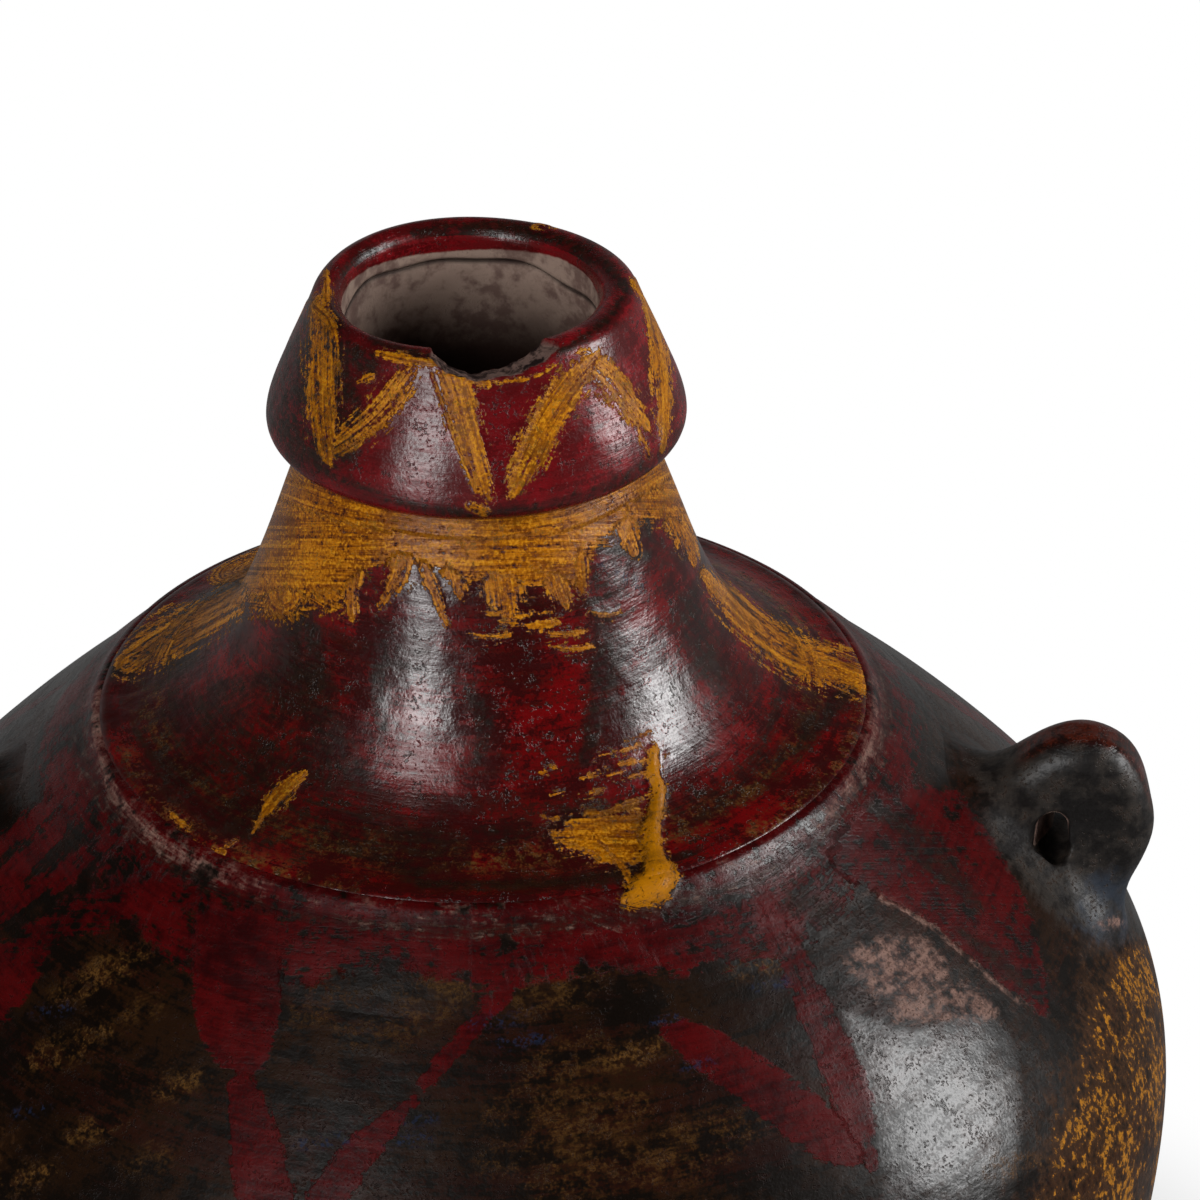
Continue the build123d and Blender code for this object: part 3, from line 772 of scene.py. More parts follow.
# %% Distances
def step(value, low, high):
    """0 at low, 1 at high, soft between."""
    t = np.clip((value - low) / (high - low), 0, 1)
    return t * t * (3 - 2 * t)


def soften(points, rounds=2):
    """Cuts the corners of a polyline until it runs smoothly."""
    points = np.array(points, float)
    for _ in range(rounds):
        a, b = points[:-1], points[1:]
        cut = np.stack([0.75 * a + 0.25 * b, 0.25 * a + 0.75 * b], 1).reshape(-1, points.shape[1])
        points = np.vstack([points[:1], cut, points[-1:]])
    return points


def to_segments(points, spine):
    """Distance from 2-D points to a polyline, the nearest segment, and the share along it."""
    best = np.full(len(points), 1e9)
    which, share = np.zeros(len(points), int), np.zeros(len(points))
    for i, (a, b) in enumerate(zip(spine, spine[1:])):
        run = b[:2] - a[:2]
        t = np.clip((points - a[:2]) @ run / max(run @ run, 1e-12), 0, 1)
        gap = np.hypot(*(points - a[:2] - t[:, None] * run).T)
        closer = gap < best
        best[closer], which[closer], share[closer] = gap[closer], i, t[closer]
    return best, which, share


def in_polygon(points, corners):
    """True for the 2-D points inside a closed polygon."""
    inside = np.zeros(len(points), bool)
    for a, b in zip(corners, np.roll(corners, -1, 0)):
        if a[1] != b[1]:
            crosses = (a[1] > points[:, 1]) != (b[1] > points[:, 1])
            inside ^= crosses & (points[:, 0] < (b[0] - a[0]) * (points[:, 1] - a[1]) / (b[1] - a[1]) + a[0])
    return inside


def blend(a, b, width):
    """The smaller of two distances, with a soft fillet between them."""
    share = np.clip(0.5 + 0.5 * (b - a) / width, 0, 1)
    return b * (1 - share) + a * share - width * share * (1 - share)


print("two walls 4 mm off, with a fillet of 16 mm, are", blend(4.0, 4.0, 16.0), "mm off")

# %% [markdown]
# The lug has to sit on the wall as it came off the lathe, wander and all. So we measure how far each
# point of the dome strays from its ideal surface, and keep those points ready to be looked up.

# %% The wall under the lugs
def above_shoulder(reach, height):
    """Distance outside the dome's ideal surface, in millimetres."""
    on_shoulder = np.hypot(reach - shoulder_centre[0], height - shoulder_centre[1]) - SHOULDER_ARC
    on_belly = np.hypot(reach - belly_centre[0], height - belly_centre[1]) - BELLY_ARC
    lean_here = np.degrees(np.arctan2(reach - belly_centre[0], height - belly_centre[1]))
    return np.where(lean_here > SHOULDER_LEAN, on_belly, on_shoulder)


wall = vertices_of(dome) * 1000
wall_off = above_shoulder(np.hypot(wall[:, 0], wall[:, 1]), wall[:, 2])
outside = wall_off > -3                # the inner side of the wall is left out
wall, wall_off = wall[outside], wall_off[outside]
wall_tree = KDTree(len(wall))
for number, spot in enumerate(wall):
    wall_tree.insert(spot, number)
wall_tree.balance()
print("the wall strays from", wall_off.min().round(2), "to", wall_off.max().round(2), "mm")

# %% [markdown]
# The ear's outline below was read off the photo, in millimetres down the shoulder and out from it. The
# clay of the root thins to nothing where the thumb smeared it onto the shoulder, and its edge runs in
# under the wall, so that no step shows.

# %% Ear
LUG_SEAT = 170.0               # radius of the ear's middle on the shoulder
EAR = [(-16, -14), (-16, 0), (-19, 5), (-21, 10), (-22.3, 20), (-18.5, 31), (-12, 38.5), (-2, 41.8), (8, 40),
       (18, 34.5), (25.5, 27.5), (30.5, 18), (33, 9), (35.5, 1), (38.5, -6), (42, -16)]
EAR_HALF, EAR_SOFT = 12.0, 9.5           # half its thickness, and the round of its edges
EAR_FOOT = 2.0                           # how much thicker its foot is
HOLE_LOW, HOLE_HIGH = (175.6, 287.0), (175.4, 293.0)
HOLE_RADIUS, HOLE_REACH = 5.2, 17.5
HOLE_DROOP = 0.1                         # the hole's floor falls towards the front
HOLE_SLANT, SLANT_FROM = 0.32, 12        # the stick went in aslant, away from the neck
SMEAR = 16.0                             # reach of the thumb's smear round the root
ROOT_DEPTH = 2.4                         # how far the lug goes into the wall


def pressed(x, y, z, seed):
    """Places pushed about by slow waves, as a hand presses clay."""
    rng = np.random.default_rng(seed)
    for _ in range(3):
        wave, phase = rng.uniform(0.09, 0.2, 3), rng.uniform(0, 6, 3)
        push = 0.45 * np.sin(wave[0] * x + phase[0]) * np.sin(wave[1] * y + phase[1]) * np.sin(wave[2] * z + phase[2])
        x, z, y = x + push, z + push, y + 0.8 * push
    return x, y, z


def ear_field(x, y, z, skin):
    """Distance to the right-hand lug, below zero in the clay. The skin is the distance to the wall."""
    tilt = math.radians(shoulder_lean(LUG_SEAT))
    seat_spot = at_lean(shoulder_centre, SHOULDER_ARC, math.degrees(tilt))[0]
    along = (x - seat_spot[0]) * math.cos(tilt) - (z - seat_spot[1]) * math.sin(tilt)
    out = (x - seat_spot[0]) * math.sin(tilt) + (z - seat_spot[1]) * math.cos(tilt)
    flat = np.column_stack([along, out])
    ear = soften(np.array(EAR + EAR[:1]), 2)
    edge = to_segments(flat, ear)[0]
    edge = np.where(in_polygon(flat, ear), -edge, edge) + EAR_SOFT
    half = EAR_HALF + EAR_FOOT * np.exp(-np.maximum(out, 0) / 8)
    sides = np.abs(y + 0.05 * along) - half + EAR_SOFT
    slab = np.minimum(np.maximum(edge, sides), 0) + np.hypot(np.maximum(edge, 0), np.maximum(sides, 0)) - EAR_SOFT
    smear = SMEAR * (1 + 0.5 * step(along, -8, -24))     # the thumb pulled more of it towards the neck
    sink = 0.25 * step(slab, 0.6 * smear, 0.97 * smear)  # the smeared edge runs in under the dome's surface
    shape = np.maximum(blend(slab, skin, smear) + sink, slab - 0.97 * smear)
    in_hole = np.column_stack([x - HOLE_SLANT * (y + SLANT_FROM), z - HOLE_DROOP * np.minimum(y, 0)])
    gap, _, share = to_segments(in_hole, np.array([HOLE_LOW, HOLE_HIGH]))
    bore = gap - (HOLE_RADIUS - 0.8 * share) - 0.9 * np.clip(np.abs(y) / 14, 0, 1.2) ** 3
    bore = -blend(-bore, HOLE_REACH - np.abs(y), 5.0)
    return np.maximum(-blend(-shape, bore, 1.8), -(skin + ROOT_DEPTH))


print("the ear stands", max(out for _, out in EAR), "mm above the shoulder")

# %% [markdown]
# Both lugs come from the same field, turned half round for the left one, and each has its own pressing.
# At last every point moves with the wall nearest to it.

# %% Lugs
CELL = 0.9                                                             # of the sampling grid, in mm
LUG_LOW, LUG_HIGH = np.array([126.0, -42.0, 226.0]), np.array([222.0, 42.0, 330.0])


def lug(name, side, seed):
    """One lug on +X (side 1) or -X (side -1), set on the wall as it wanders."""
    counts = np.ceil((LUG_HIGH - LUG_LOW) / CELL).astype(int)
    axes = [LUG_LOW[i] + CELL * np.arange(counts[i]) for i in range(3)]
    x, y, z = (g.ravel() for g in np.meshgrid(*axes, indexing="ij"))
    skin = above_shoulder(np.hypot(x, y), z)
    shape = ear_field(*pressed(x, y, z, seed), skin)
    spots, quads = surface_net(shape.reshape(counts), LUG_LOW, CELL)
    spots *= (side, side, 1)
    reach = np.hypot(spots[:, 0], spots[:, 1])
    lean = np.arctan2(reach - shoulder_centre[0], spots[:, 2] - shoulder_centre[1])
    off = wall_off[[wall_tree.find(spot)[1] for spot in spots]]
    spots[:, :2] *= (1 + off * np.sin(lean) / reach)[:, None]
    spots[:, 2] += off * np.cos(lean)
    mesh = bpy.data.meshes.new(name)
    mesh.from_pydata(spots / 1000, [], quads)
    mesh.shade_smooth()
    mesh.materials.append(lug_clay)
    print(name, len(spots), "vertices,", 2 * len(quads), "triangles")
    return new_object(name, mesh)


lug_right = lug("ear_right", 1, 3)
lug_left = lug("ear_left", -1, 8)

# %% [markdown]
# ## A mouth that was used
#
# The rim was broken at the front and painted over again, the inner seam between the neck's tube and the
# collar runs in waves, and the mouth sits a little to the left. We push the vertices of the two pieces
# together, so that the joint stays closed.

# %% Mouth
CHIP_TURN = [-15, -9, -4, 2, 9, 17, 24, 30, 34]        # degrees round from the photographed side
CHIP_DEPTH = [0, 3.4, 5.2, 6.2, 5.4, 4.6, 3.0, 1.0, 0]  # millimetres off the rim
CHIP_SLOPE, RIM_EDGE = 0.32, 49          # the break falls inwards from the rim's outer edge
MOUTH_SHIFT = 1.3                        # millimetres to the left
chip_share = {}


def grit_at(places):
    """A cheap rough noise between -1 and 1, for places in metres."""
    waves = np.sin(places @ np.array([[2100, -800, 600], [900, 1900, -1100], [700, 1300, 2300]]))
    return waves.prod(1)


def seam_wave(turn):
    """Height of the inner seam above its mean, in millimetres."""
    return 1.5 * np.sin(2 * turn + 0.9) + 0.8 * np.sin(5 * turn) + 0.5 * np.sin(9 * turn + 2)


for piece in (collar, neck):
    spots = vertices_of(piece)
    reach, height = np.hypot(spots[:, 0], spots[:, 1]) * 1000, spots[:, 2] * 1000
    turn = np.arctan2(spots[:, 0], -spots[:, 1])
    inner = step(reach, 45, 41)                        # 1 on the tube and the inside of the rim
    height += seam_wave(turn) * np.exp(-((height - tube_end) / 5) ** 2) * inner
    rim = step(height, 452, 470)                       # the rim dips and rises
    height += rim * (0.6 * np.sin(2 * turn + 0.6) + 0.35 * np.sin(3 * turn + 2))
    cut = np.interp(np.degrees(turn), CHIP_TURN, CHIP_DEPTH, 0, 0)
    cut = cut + (cut > 0.5) * (0.22 * np.sin(31 * turn) + 0.1 * np.sin(83 * turn + 1))
    top = RIM_HEIGHT - cut - CHIP_SLOPE * (RIM_EDGE - reach) + 0.12 * grit_at(spots)
    over = np.where((cut > 0.2) & (reach < 52), height - top, 0)      # what broke off
    height = np.where(over > 0, top, height)
    chip_share[piece.name] = step(over, 0.0, 0.5)
    spots[:, 0] -= MOUTH_SHIFT / 1000 * inner * step(height, 436, 462)
    spots[:, 2] = height / 1000
    move_vertices(piece, spots)
    print(piece.name, "has", int((over > 0).sum()), "vertices on the broken rim")

# %% [markdown]
# ## Brushes
#
# A stroke is a line with a width that swells and tapers. On the photographed side its points are photo
# pixels: (x, y, width). On the hidden sides they are degrees round the jar, millimetres of height and
# millimetres of width, and they carry the same patterns on, as the painter would have. A patch is a
# closed outline, for paint that was filled in. A dry brush leaves gaps, and a feathered edge thins slowly.

# %% Brushes
PIXEL = 0.295                  # millimetres on the jar's front per photo pixel
ALL_ROUND = range(0, 361, 5)   # degrees
STROKES = []


def brush(piece, layer, *points, dry=0.0, feather=1.0):
    """A stroke seen in the photo."""
    STROKES.append((piece, layer, "photo", soften(points), False, dry, feather))


def patch(piece, layer, *corners, dry=0.0, feather=1.0):
    """A filled-in place seen in the photo."""
    STROKES.append((piece, layer, "photo", soften(corners + corners[:1], 1), True, dry, feather))


def far_brush(piece, layer, *points, dry=0.0, feather=1.0):
    """A stroke on the hidden side."""
    STROKES.append((piece, layer, "round", soften(points), False, dry, feather))


def ring_brush(piece, layer, turns, height, width, dry=0.0, feather=1.0):
    """A stroke round the jar; its height and width are (mean, swing, degrees per radian of its wave)."""
    points = [(a, *(mean + swing * math.sin(a / wave) for mean, swing, wave in (height, width))) for a in turns]
    far_brush(piece, layer, *points, dry=dry, feather=feather)


print("a photo pixel is", PIXEL, "mm on the jar's front")

# %% [markdown]
# ## The collar's zigzag
#
# The ochre zigzag was laid on in single pulls: fat where the brush landed, thin where it lifted, and dry
# where it ran out of paint. Two legs stand upright at the sides, where we see the painter turn the jar.

# %% Collar strokes
brush("collar", "ochre", (322, 302, 22), (322, 340, 38), (322, 390, 42), (324, 430, 38), (328, 458, 18),
      dry=0.48, feather=1.5)
brush("collar", "ochre", (326, 272, 7), (327, 300, 12))
brush("collar", "ochre", (318, 308, 22), (332, 322, 22), (338, 347, 3))
brush("collar", "ochre", (328, 452, 20), (352, 436, 36), (384, 408, 38), (402, 384, 28), (414, 368, 14),
      dry=0.58, feather=1.5)
brush("collar", "ochre", (340, 449, 4), (388, 424, 4), dry=0.2)
brush("collar", "ochre", (358, 382, 4), (372, 376, 7), dry=0.2)
brush("collar", "ochre", (378, 353, 8), (405, 360, 13), (440, 364, 10))
brush("collar", "ochre", (448, 368, 30), (457, 390, 42), (464, 418, 38), (473, 452, 33), (482, 482, 24),
      (488, 498, 10), dry=0.3, feather=1.2)
brush("collar", "ochre", (432, 374, 4), (444, 408, 4), (457, 448, 4), (476, 492, 4))
brush("collar", "ochre", (512, 494, 10), (528, 460, 42), (546, 420, 46), (568, 388, 40), (586, 366, 26),
      (598, 354, 8), dry=0.46, feather=1.4)
brush("collar", "ochre", (512, 478, 5), (530, 425, 5), (556, 376, 5))
brush("collar", "ochre", (586, 362, 26), (606, 376, 36), (628, 404, 32), (646, 428, 12), dry=0.62, feather=1.4)
brush("collar", "ochre", (636, 424, 4), (649, 456, 3), dry=0.2)
brush("collar", "ochre", (646, 298, 8), (655, 335, 20), (662, 375, 24), (664, 415, 22), (662, 452, 4), dry=0.12)
brush("collar", "ochre", (634, 280, 8), (642, 293, 7))
brush("collar", "ochre", (480, 384, 9), (489, 384, 8))
brush("collar", "ochre", (440, 364, 3), (462, 378, 3), (484, 386, 3), (512, 382, 3), (536, 377, 3), (556, 364, 2),
      dry=0.2)
brush("collar", "ochre", (535, 225, 5), (559, 224, 5))
brush("collar", "ochre", (470, 505, 5), (486, 512, 6), dry=0.3)
for leg in range(7):           # the zigzag goes on round the back
    start = 108 + leg * 21.5
    high, low, tired = 463.0, 434.0, 0.1 + 0.4 * (leg % 3) / 2        # two heights, and how dry the brush is
    far_brush("collar", "ochre", (start, high, 4), (start + 3.5, high - 8, 10), (start + 8, low + 7, 10),
              (start + 11, low, 3), dry=tired)
    far_brush("collar", "ochre", (start + 11, low, 3), (start + 14, low + 6, 10), (start + 18.5, high - 7, 10),
              (start + 21.5, high, 3), dry=0.5 - tired)
print(len(STROKES), "strokes so far")

# %% [markdown]
# Soot and handling darkened the rim, and the lower roll is painted darker. The collar's left side is
# darkened with painted shade.

# %% Collar soot and painted shade
# painted shade: the collar's left side made darker
patch("collar", "dark", (258, 420), (272, 352), (300, 300), (346, 296), (356, 360), (372, 430), (350, 480),
      (285, 476), dry=0.35, feather=3)
brush("collar", "dark", (300, 462, 10), (400, 505, 12), (480, 516, 10), (580, 500, 14), (660, 462, 24),
      (690, 420, 12), dry=0.5, feather=2)
brush("collar", "dark", (560, 352, 10), (600, 330, 14), (622, 300, 12), dry=0.4, feather=2)
brush("collar", "dark", (415, 232, 14), (470, 226, 22), (540, 232, 26), (600, 258, 22), (628, 290, 14),
      dry=0.3, feather=1.8)
brush("collar", "dark", (360, 270, 10), (420, 252, 12), (490, 252, 12), (560, 258, 10), dry=0.45, feather=1.8)
brush("collar", "dark", (372, 340, 12), (400, 350, 14), (450, 362, 12), dry=0.35, feather=2)
ring_brush("collar", "dark", range(120, 330, 6), (470, 1.5, 9), (9, 4, 17), dry=0.3, feather=2)
ring_brush("collar", "dark", range(90, 280, 6), (434, 4, 12), (9, 6, 19), dry=0.4, feather=3)
print(len(STROKES), "strokes so far")

# %% [markdown]
# ## The neck's ochre band
#
# Under the collar the painter pulled short strokes down the neck, side by side. Each ends in its own
# ragged foot, and one dripped.

# %% Neck band
patch("neck", "ochre", (258, 460), (330, 492), (420, 506), (520, 508), (600, 492), (690, 440), (696, 560), (672, 530),
      (640, 524), (606, 540), (588, 560), (582, 590), (552, 588), (520, 592), (482, 584), (458, 590), (430, 572),
      (408, 562), (384, 566), (362, 582), (346, 600), (318, 604), (280, 602), (252, 604), (236, 600), (246, 540),
      dry=0.12, feather=2.2)
brush("neck", "ochre", (258, 478, 40), (330, 508, 46), (420, 522, 50), (520, 526, 50), (600, 508, 44), (694, 452, 40),
      dry=0.05)
brush("neck", "ochre", (292, 478, 50), (284, 540, 60), (284, 596, 60), dry=0.22, feather=2)
brush("neck", "ochre", (236, 602, 10), (276, 606, 22), (330, 604, 20), (352, 596, 6), dry=0.5, feather=2)
brush("neck", "ochre", (250, 618, 4), (272, 616, 8), (298, 618, 4), dry=0.5, feather=1.5)
brush("neck", "ochre", (332, 500, 52), (328, 550, 58), (326, 590, 56), dry=0.30, feather=2)
brush("neck", "ochre", (368, 510, 48), (362, 546, 46), (350, 586, 24), (352, 618, 8), dry=0.36, feather=1.6)
brush("neck", "ochre", (404, 515, 52), (404, 545, 50), (398, 580, 26), (380, 606, 8), dry=0.40, feather=2.0)
brush("neck", "ochre", (440, 518, 48), (450, 552, 48), (458, 582, 30), (460, 596, 10), dry=0.12, feather=1.3)
brush("neck", "ochre", (424, 566, 16), (434, 588, 16), (447, 624, 6))
brush("neck", "ochre", (490, 520, 46), (500, 560, 52), (506, 598, 44), (508, 616, 14), dry=0.24, feather=1.4)
brush("neck", "ochre", (536, 520, 42), (549, 560, 42), (562, 594, 32), (566, 606, 8), dry=0.14, feather=1.3)
brush("neck", "ochre", (572, 515, 34), (578, 550, 26), (581, 592, 12), dry=0.12)
brush("neck", "ochre", (462, 545, 4), (481, 580, 4))
brush("neck", "ochre", (530, 545, 4), (552, 592, 4))
brush("neck", "ochre", (610, 500, 52), (624, 522, 42), (634, 552, 12), dry=0.36, feather=1.6)
brush("neck", "ochre", (652, 470, 48), (672, 508, 40), (690, 548, 24), (694, 564, 6), dry=0.22, feather=1.3)
brush("neck", "ochre", (627, 505, 10), (624, 545, 7))
brush("neck", "dark", (600, 548, 14), (622, 552, 18), (648, 556, 12), dry=0.1, feather=1.4)
brush("neck", "dark", (640, 500, 6), (652, 540, 10), dry=0.2)
brush("neck", "blue", (604, 566, 10), (640, 586, 12), dry=0.3)
for x, y, dx in ((482, 612, 70), (500, 622, 60), (540, 632, 46), (470, 634, 40), (548, 646, 44), (590, 612, 30)):
    brush("neck", "ochre", (x, y, 4), (x + dx / 2, y + 4, 11), (x + dx, y, 4), dry=0.55, feather=1.6)
ring_brush("neck", "ochre", range(78, 290, 6), (414, 3, 11), (20, 4, 7), dry=0.1)
for turn in range(86, 284, 9):  # the short pulls go on round the back
    foot, thin = 398 + 6 * math.sin(turn / 5.0), 0.25 + 0.2 * math.sin(turn / 3.0)
    far_brush("neck", "ochre", (turn, 414, 12), (turn + 1, (414 + foot) / 2, 15), (turn + 2, foot, 4),
              dry=thin, feather=1.6)
print(len(STROKES), "strokes so far")

# %% [markdown]
# ## The skirt's strokes and the thick run
#
# Loose dabs cross the skirt. One brushful was so heavy that it ran down over the skirt's edge and set
# there as a bead.

# %% Skirt strokes
brush("neck", "ochre", (704, 574, 12), (728, 602, 30), (760, 632, 42), (795, 656, 52), (830, 668, 52), (870, 684, 34),
      dry=0.32, feather=1.8)
brush("neck", "ochre", (258, 588, 20), (215, 612, 40), (165, 638, 60), (126, 664, 30), dry=0.53, feather=2.0)
brush("neck", "ochre", (306, 772, 5), (292, 783, 24), (276, 797, 28), (263, 815, 11), (252, 835, 2),
      dry=0.24, feather=1.2)
brush("neck", "ochre", (172, 815, 6), (187, 828, 7))
brush("neck", "ochre", (193, 842, 6), (212, 858, 11), (235, 842, 5))
brush("neck", "run", (654, 750, 7), (652, 772, 11), (659, 790, 13), (657, 808, 13), (652, 826, 17), (652, 848, 19),
      (655, 864, 24), (660, 878, 34), (650, 890, 36), (636, 896, 26))
brush("dome", "run", (662, 874, 30), (654, 886, 38), (640, 893, 32), (632, 898, 18))
patch("neck", "ochre", (546, 834), (572, 812), (612, 810), (645, 802), (652, 840), (645, 870), (612, 872), (585, 862),
      (560, 852), dry=0.15, feather=1.4)
brush("neck", "ochre", (600, 842, 10), (622, 866, 14), (632, 884, 8), dry=0.1)
rng = np.random.default_rng(5)
for _ in range(26):             # bristle tracks that lead into the patch
    x, y = rng.uniform(540, 636), rng.uniform(738, 822)
    span = rng.uniform(14, 44) * min(1, (x - 520) / 60)
    brush("neck", "ochre", (x, y, 1.5), (x + span / 2, y - span * 0.16, rng.uniform(3, 7)),
          (x + span, y - span * 0.3, 1.5), dry=0.3)
for turn, height, width in ((152, 354, 14), (181, 362, 18), (214, 351, 12)):
    far_brush("neck", "ochre", (turn - 5, height + 7, 3), (turn, height + 2, width),
              (turn + 4, height - 4, width * 0.8), (turn + 8, height - 8, 2), dry=0.4, feather=1.4)
print(len(STROKES), "strokes so far")

# %% [markdown]
# The skirt's edge was rubbed brown, and smoke left brown-black stains across its red. A dark line along
# the front of the skirt's edge is painted shade of the crease below it.

# %% Skirt soot and painted shade
ring_brush("neck", "tan", ALL_ROUND, (338, 0, 1), (9, 5, 13), dry=0.3, feather=1.8)
ring_brush("neck", "dark", ALL_ROUND, (341, 2, 10), (8, 5, 17), dry=0.62, feather=2)
brush("neck", "dark", (300, 620, 40), (310, 680, 60), (325, 740, 50), (360, 780, 30), dry=0.45, feather=3)
patch("neck", "dark", (128, 730), (200, 680), (300, 660), (345, 720), (350, 800), (330, 862), (240, 850), (160, 800),
      dry=0.62, feather=5)
ring_brush("neck", "matte", range(60, 361, 5), (349, 0, 1), (30, 0, 1), dry=0.97, feather=6)
brush("neck", "dark", (250, 760, 16), (300, 812, 34), (360, 850, 34), (420, 872, 20), dry=0.45, feather=3)
brush("neck", "dark", (384, 640, 10), (376, 690, 24), (384, 730, 14), dry=0.4, feather=2)
brush("neck", "dark", (470, 690, 14), (486, 720, 24), (478, 760, 12), dry=0.5, feather=3)
brush("neck", "dark", (600, 590, 40), (612, 650, 50), (600, 700, 34), (585, 760, 14), dry=0.45, feather=3)
brush("neck", "dark", (690, 600, 30), (700, 650, 40), (720, 690, 20), dry=0.5, feather=3)
# painted shade: a dark line along the front of the skirt's edge
brush("neck", "dark", (420, 884, 12), (520, 886, 16), (610, 878, 20), (700, 850, 10), dry=0.15, feather=1.6)
brush("neck", "dark", (720, 800, 16), (800, 740, 26), (850, 690, 20), dry=0.4, feather=3)
brush("neck", "dark", (262, 566, 20), (205, 610, 44), (150, 650, 44), (112, 672, 20), dry=0.2, feather=3)
far_brush("neck", "ochre", (226, 337, 26), (217, 337, 24), (209, 336.5, 14), (202, 336, 4), dry=0.35)
brush("neck", "tan", (124, 752, 8), (160, 806, 20), (215, 848, 26), (280, 876, 28), (350, 892, 18),
      dry=0.15, feather=2)
brush("neck", "tan", (868, 690, 8), (858, 736, 18), (832, 780, 22), (796, 812, 24), (748, 836, 18),
      dry=0.15, feather=2)
ring_brush("neck", "dark", range(90, 275, 5), (350, 8, 15), (16, 10, 8), dry=0.45, feather=4)
print(len(STROKES), "strokes so far")

# %% [markdown]
# ## Marks on the shoulder
#
# A ring of red slip runs round the skirt's joint, with a faint pale ring of painted sheen on the coil's crest
# and a thin dark ring of painted shade below the ridge. Below them the painter swept loose diagonals of red
# onto the dark ground.

# %% Red on the shoulder
ring_brush("dome", "red", ALL_ROUND, (326, 3, 9), (34, 9, 23), dry=0.76, feather=2.6)
ring_brush("dome", "red", ALL_ROUND, (331, 0, 1), (15, 4, 12), dry=0.68, feather=1.6)
# painted sheen: a faint pale ring on the coil's crest
ring_brush("dome", "bare", ALL_ROUND, (330.6, 0.8, 7), (8, 3, 11), dry=1.3, feather=3)
# painted shade: a thin dark ring below the coil's ridge, where a crease would be
ring_brush("dome", "dark", ALL_ROUND, (325, 0.8, 9), (4, 2, 14), dry=0.62, feather=2)
patch("dome", "red", (-80, 1085), (0, 1028), (27, 994), (50, 956), (72, 936), (125, 926), (196, 914), (212, 884),
      (150, 868), (60, 900), (0, 946), (-80, 1000), dry=0.66, feather=1.5)
for x, y, w in ((-30, 930, 40), (10, 876, 30), (20, 830, 24), (50, 880, 24), (70, 815, 22), (104, 850, 24),
                (140, 880, 20)):
    brush("dome", "red", (x - 50, y + 42, w * 0.3), (x, y, w), (x + 50, y - 42, w * 0.3), dry=0.7, feather=2)
patch("dome", "red", (193, 908), (280, 903), (280, 951), (284, 1000), (281, 1026), (268, 1056), (261, 1076),
      (226, 1074), (206, 1050), (194, 1010), (191, 960), dry=0.1)
brush("dome", "red", (242, 1088, 30), (252, 1130, 52), (268, 1210, 60), (294, 1290, 54), (304, 1340, 14), dry=0.45)
brush("dome", "red", (414, 1100, 10), (384, 1126, 30), (352, 1158, 38), (318, 1212, 46), (300, 1280, 40),
      (296, 1330, 12), dry=0.45)
brush("dome", "red", (532, 957, 8), (498, 1000, 17), (455, 1050, 21), (424, 1084, 14), dry=0.2)
brush("dome", "red", (570, 900, 40), (620, 920, 60), (680, 928, 60), (716, 912, 24), dry=0.62, feather=1.5)
brush("dome", "red", (520, 935, 10), (580, 950, 30), (650, 960, 20), dry=0.62)
patch("dome", "red", (652, 1028), (690, 1016), (760, 1056), (832, 1106), (874, 1162), (842, 1170), (806, 1152),
      (756, 1115), (700, 1074), dry=0.08)
brush("dome", "red", (755, 880, 8), (778, 920, 26), (800, 975, 36), (828, 1040, 42), (858, 1110, 40), (872, 1165, 16),
      dry=0.66, feather=1.2)
patch("dome", "red", (868, 790), (950, 782), (985, 822), (1012, 872), (1040, 940), (1056, 1025), (1022, 1004),
      (985, 972), (945, 935), (900, 906), (850, 884), (818, 862), dry=0.71, feather=1.2)
brush("dome", "dark", (872, 806, 14), (930, 846, 26), (975, 905, 18), dry=0.5, feather=2)
brush("dome", "dark", (960, 930, 10), (1000, 962, 20), (1030, 990, 12), dry=0.4, feather=2)
brush("dome", "bare", (850, 884, 1.5), (900, 906, 2.5), (945, 936, 2.5), (985, 973, 2.5), (1024, 1006, 1.5), dry=0.4)
brush("dome", "dark", (910, 850, 12), (932, 868, 16), (946, 882, 8), dry=0.2)
brush("dome", "dark", (800, 900, 40), (850, 930, 50), (830, 960, 30), dry=0.2, feather=2)
print(len(STROKES), "strokes so far")

# %% [markdown]
# Rubbed tan spots and a few blue flecks come from wear and from the smoke.

# %% Spots on the shoulder
for x, y, w in ((82, 990, 30), (112, 968, 34), (58, 1052, 36), (88, 1036, 26), (178, 1085, 24), (92, 1130, 26),
                (27, 1178, 26), (765, 962, 34), (632, 1055, 30)):
    brush("dome", "tan", (x - w * 0.8, y + w * 0.3, w * 0.5), (x, y, w), (x + w * 0.9, y - w * 0.35, w * 0.5),
          dry=0.1, feather=1.4)
for x, y, w in ((560, 1060, 40), (540, 1100, 50), (590, 1120, 50), (525, 1150, 46), (580, 1175, 54), (400, 1010, 60),
                (330, 1000, 40), (560, 990, 44), (690, 1150, 60), (140, 1010, 16), (150, 1160, 18)):
    brush("dome", "tan", (x - w * 0.8, y + w * 0.3, w * 0.5), (x, y, w), (x + w * 0.9, y - w * 0.35, w * 0.5),
          dry=0.95, feather=2)
for x, y, w in ((495, 1020, 22), (522, 1040, 22), (510, 1015, 18), (322, 1142, 24), (772, 985, 16), (665, 1020, 12),
                (697, 1065, 14), (407, 1140, 20), (52, 1010, 16), (30, 1110, 14), (420, 1120, 14)):
    brush("dome", "blue", (x - w, y + 3, w * 0.5), (x + w, y - 3, w * 0.6), dry=0.2, feather=1.3)
print(len(STROKES), "strokes so far")

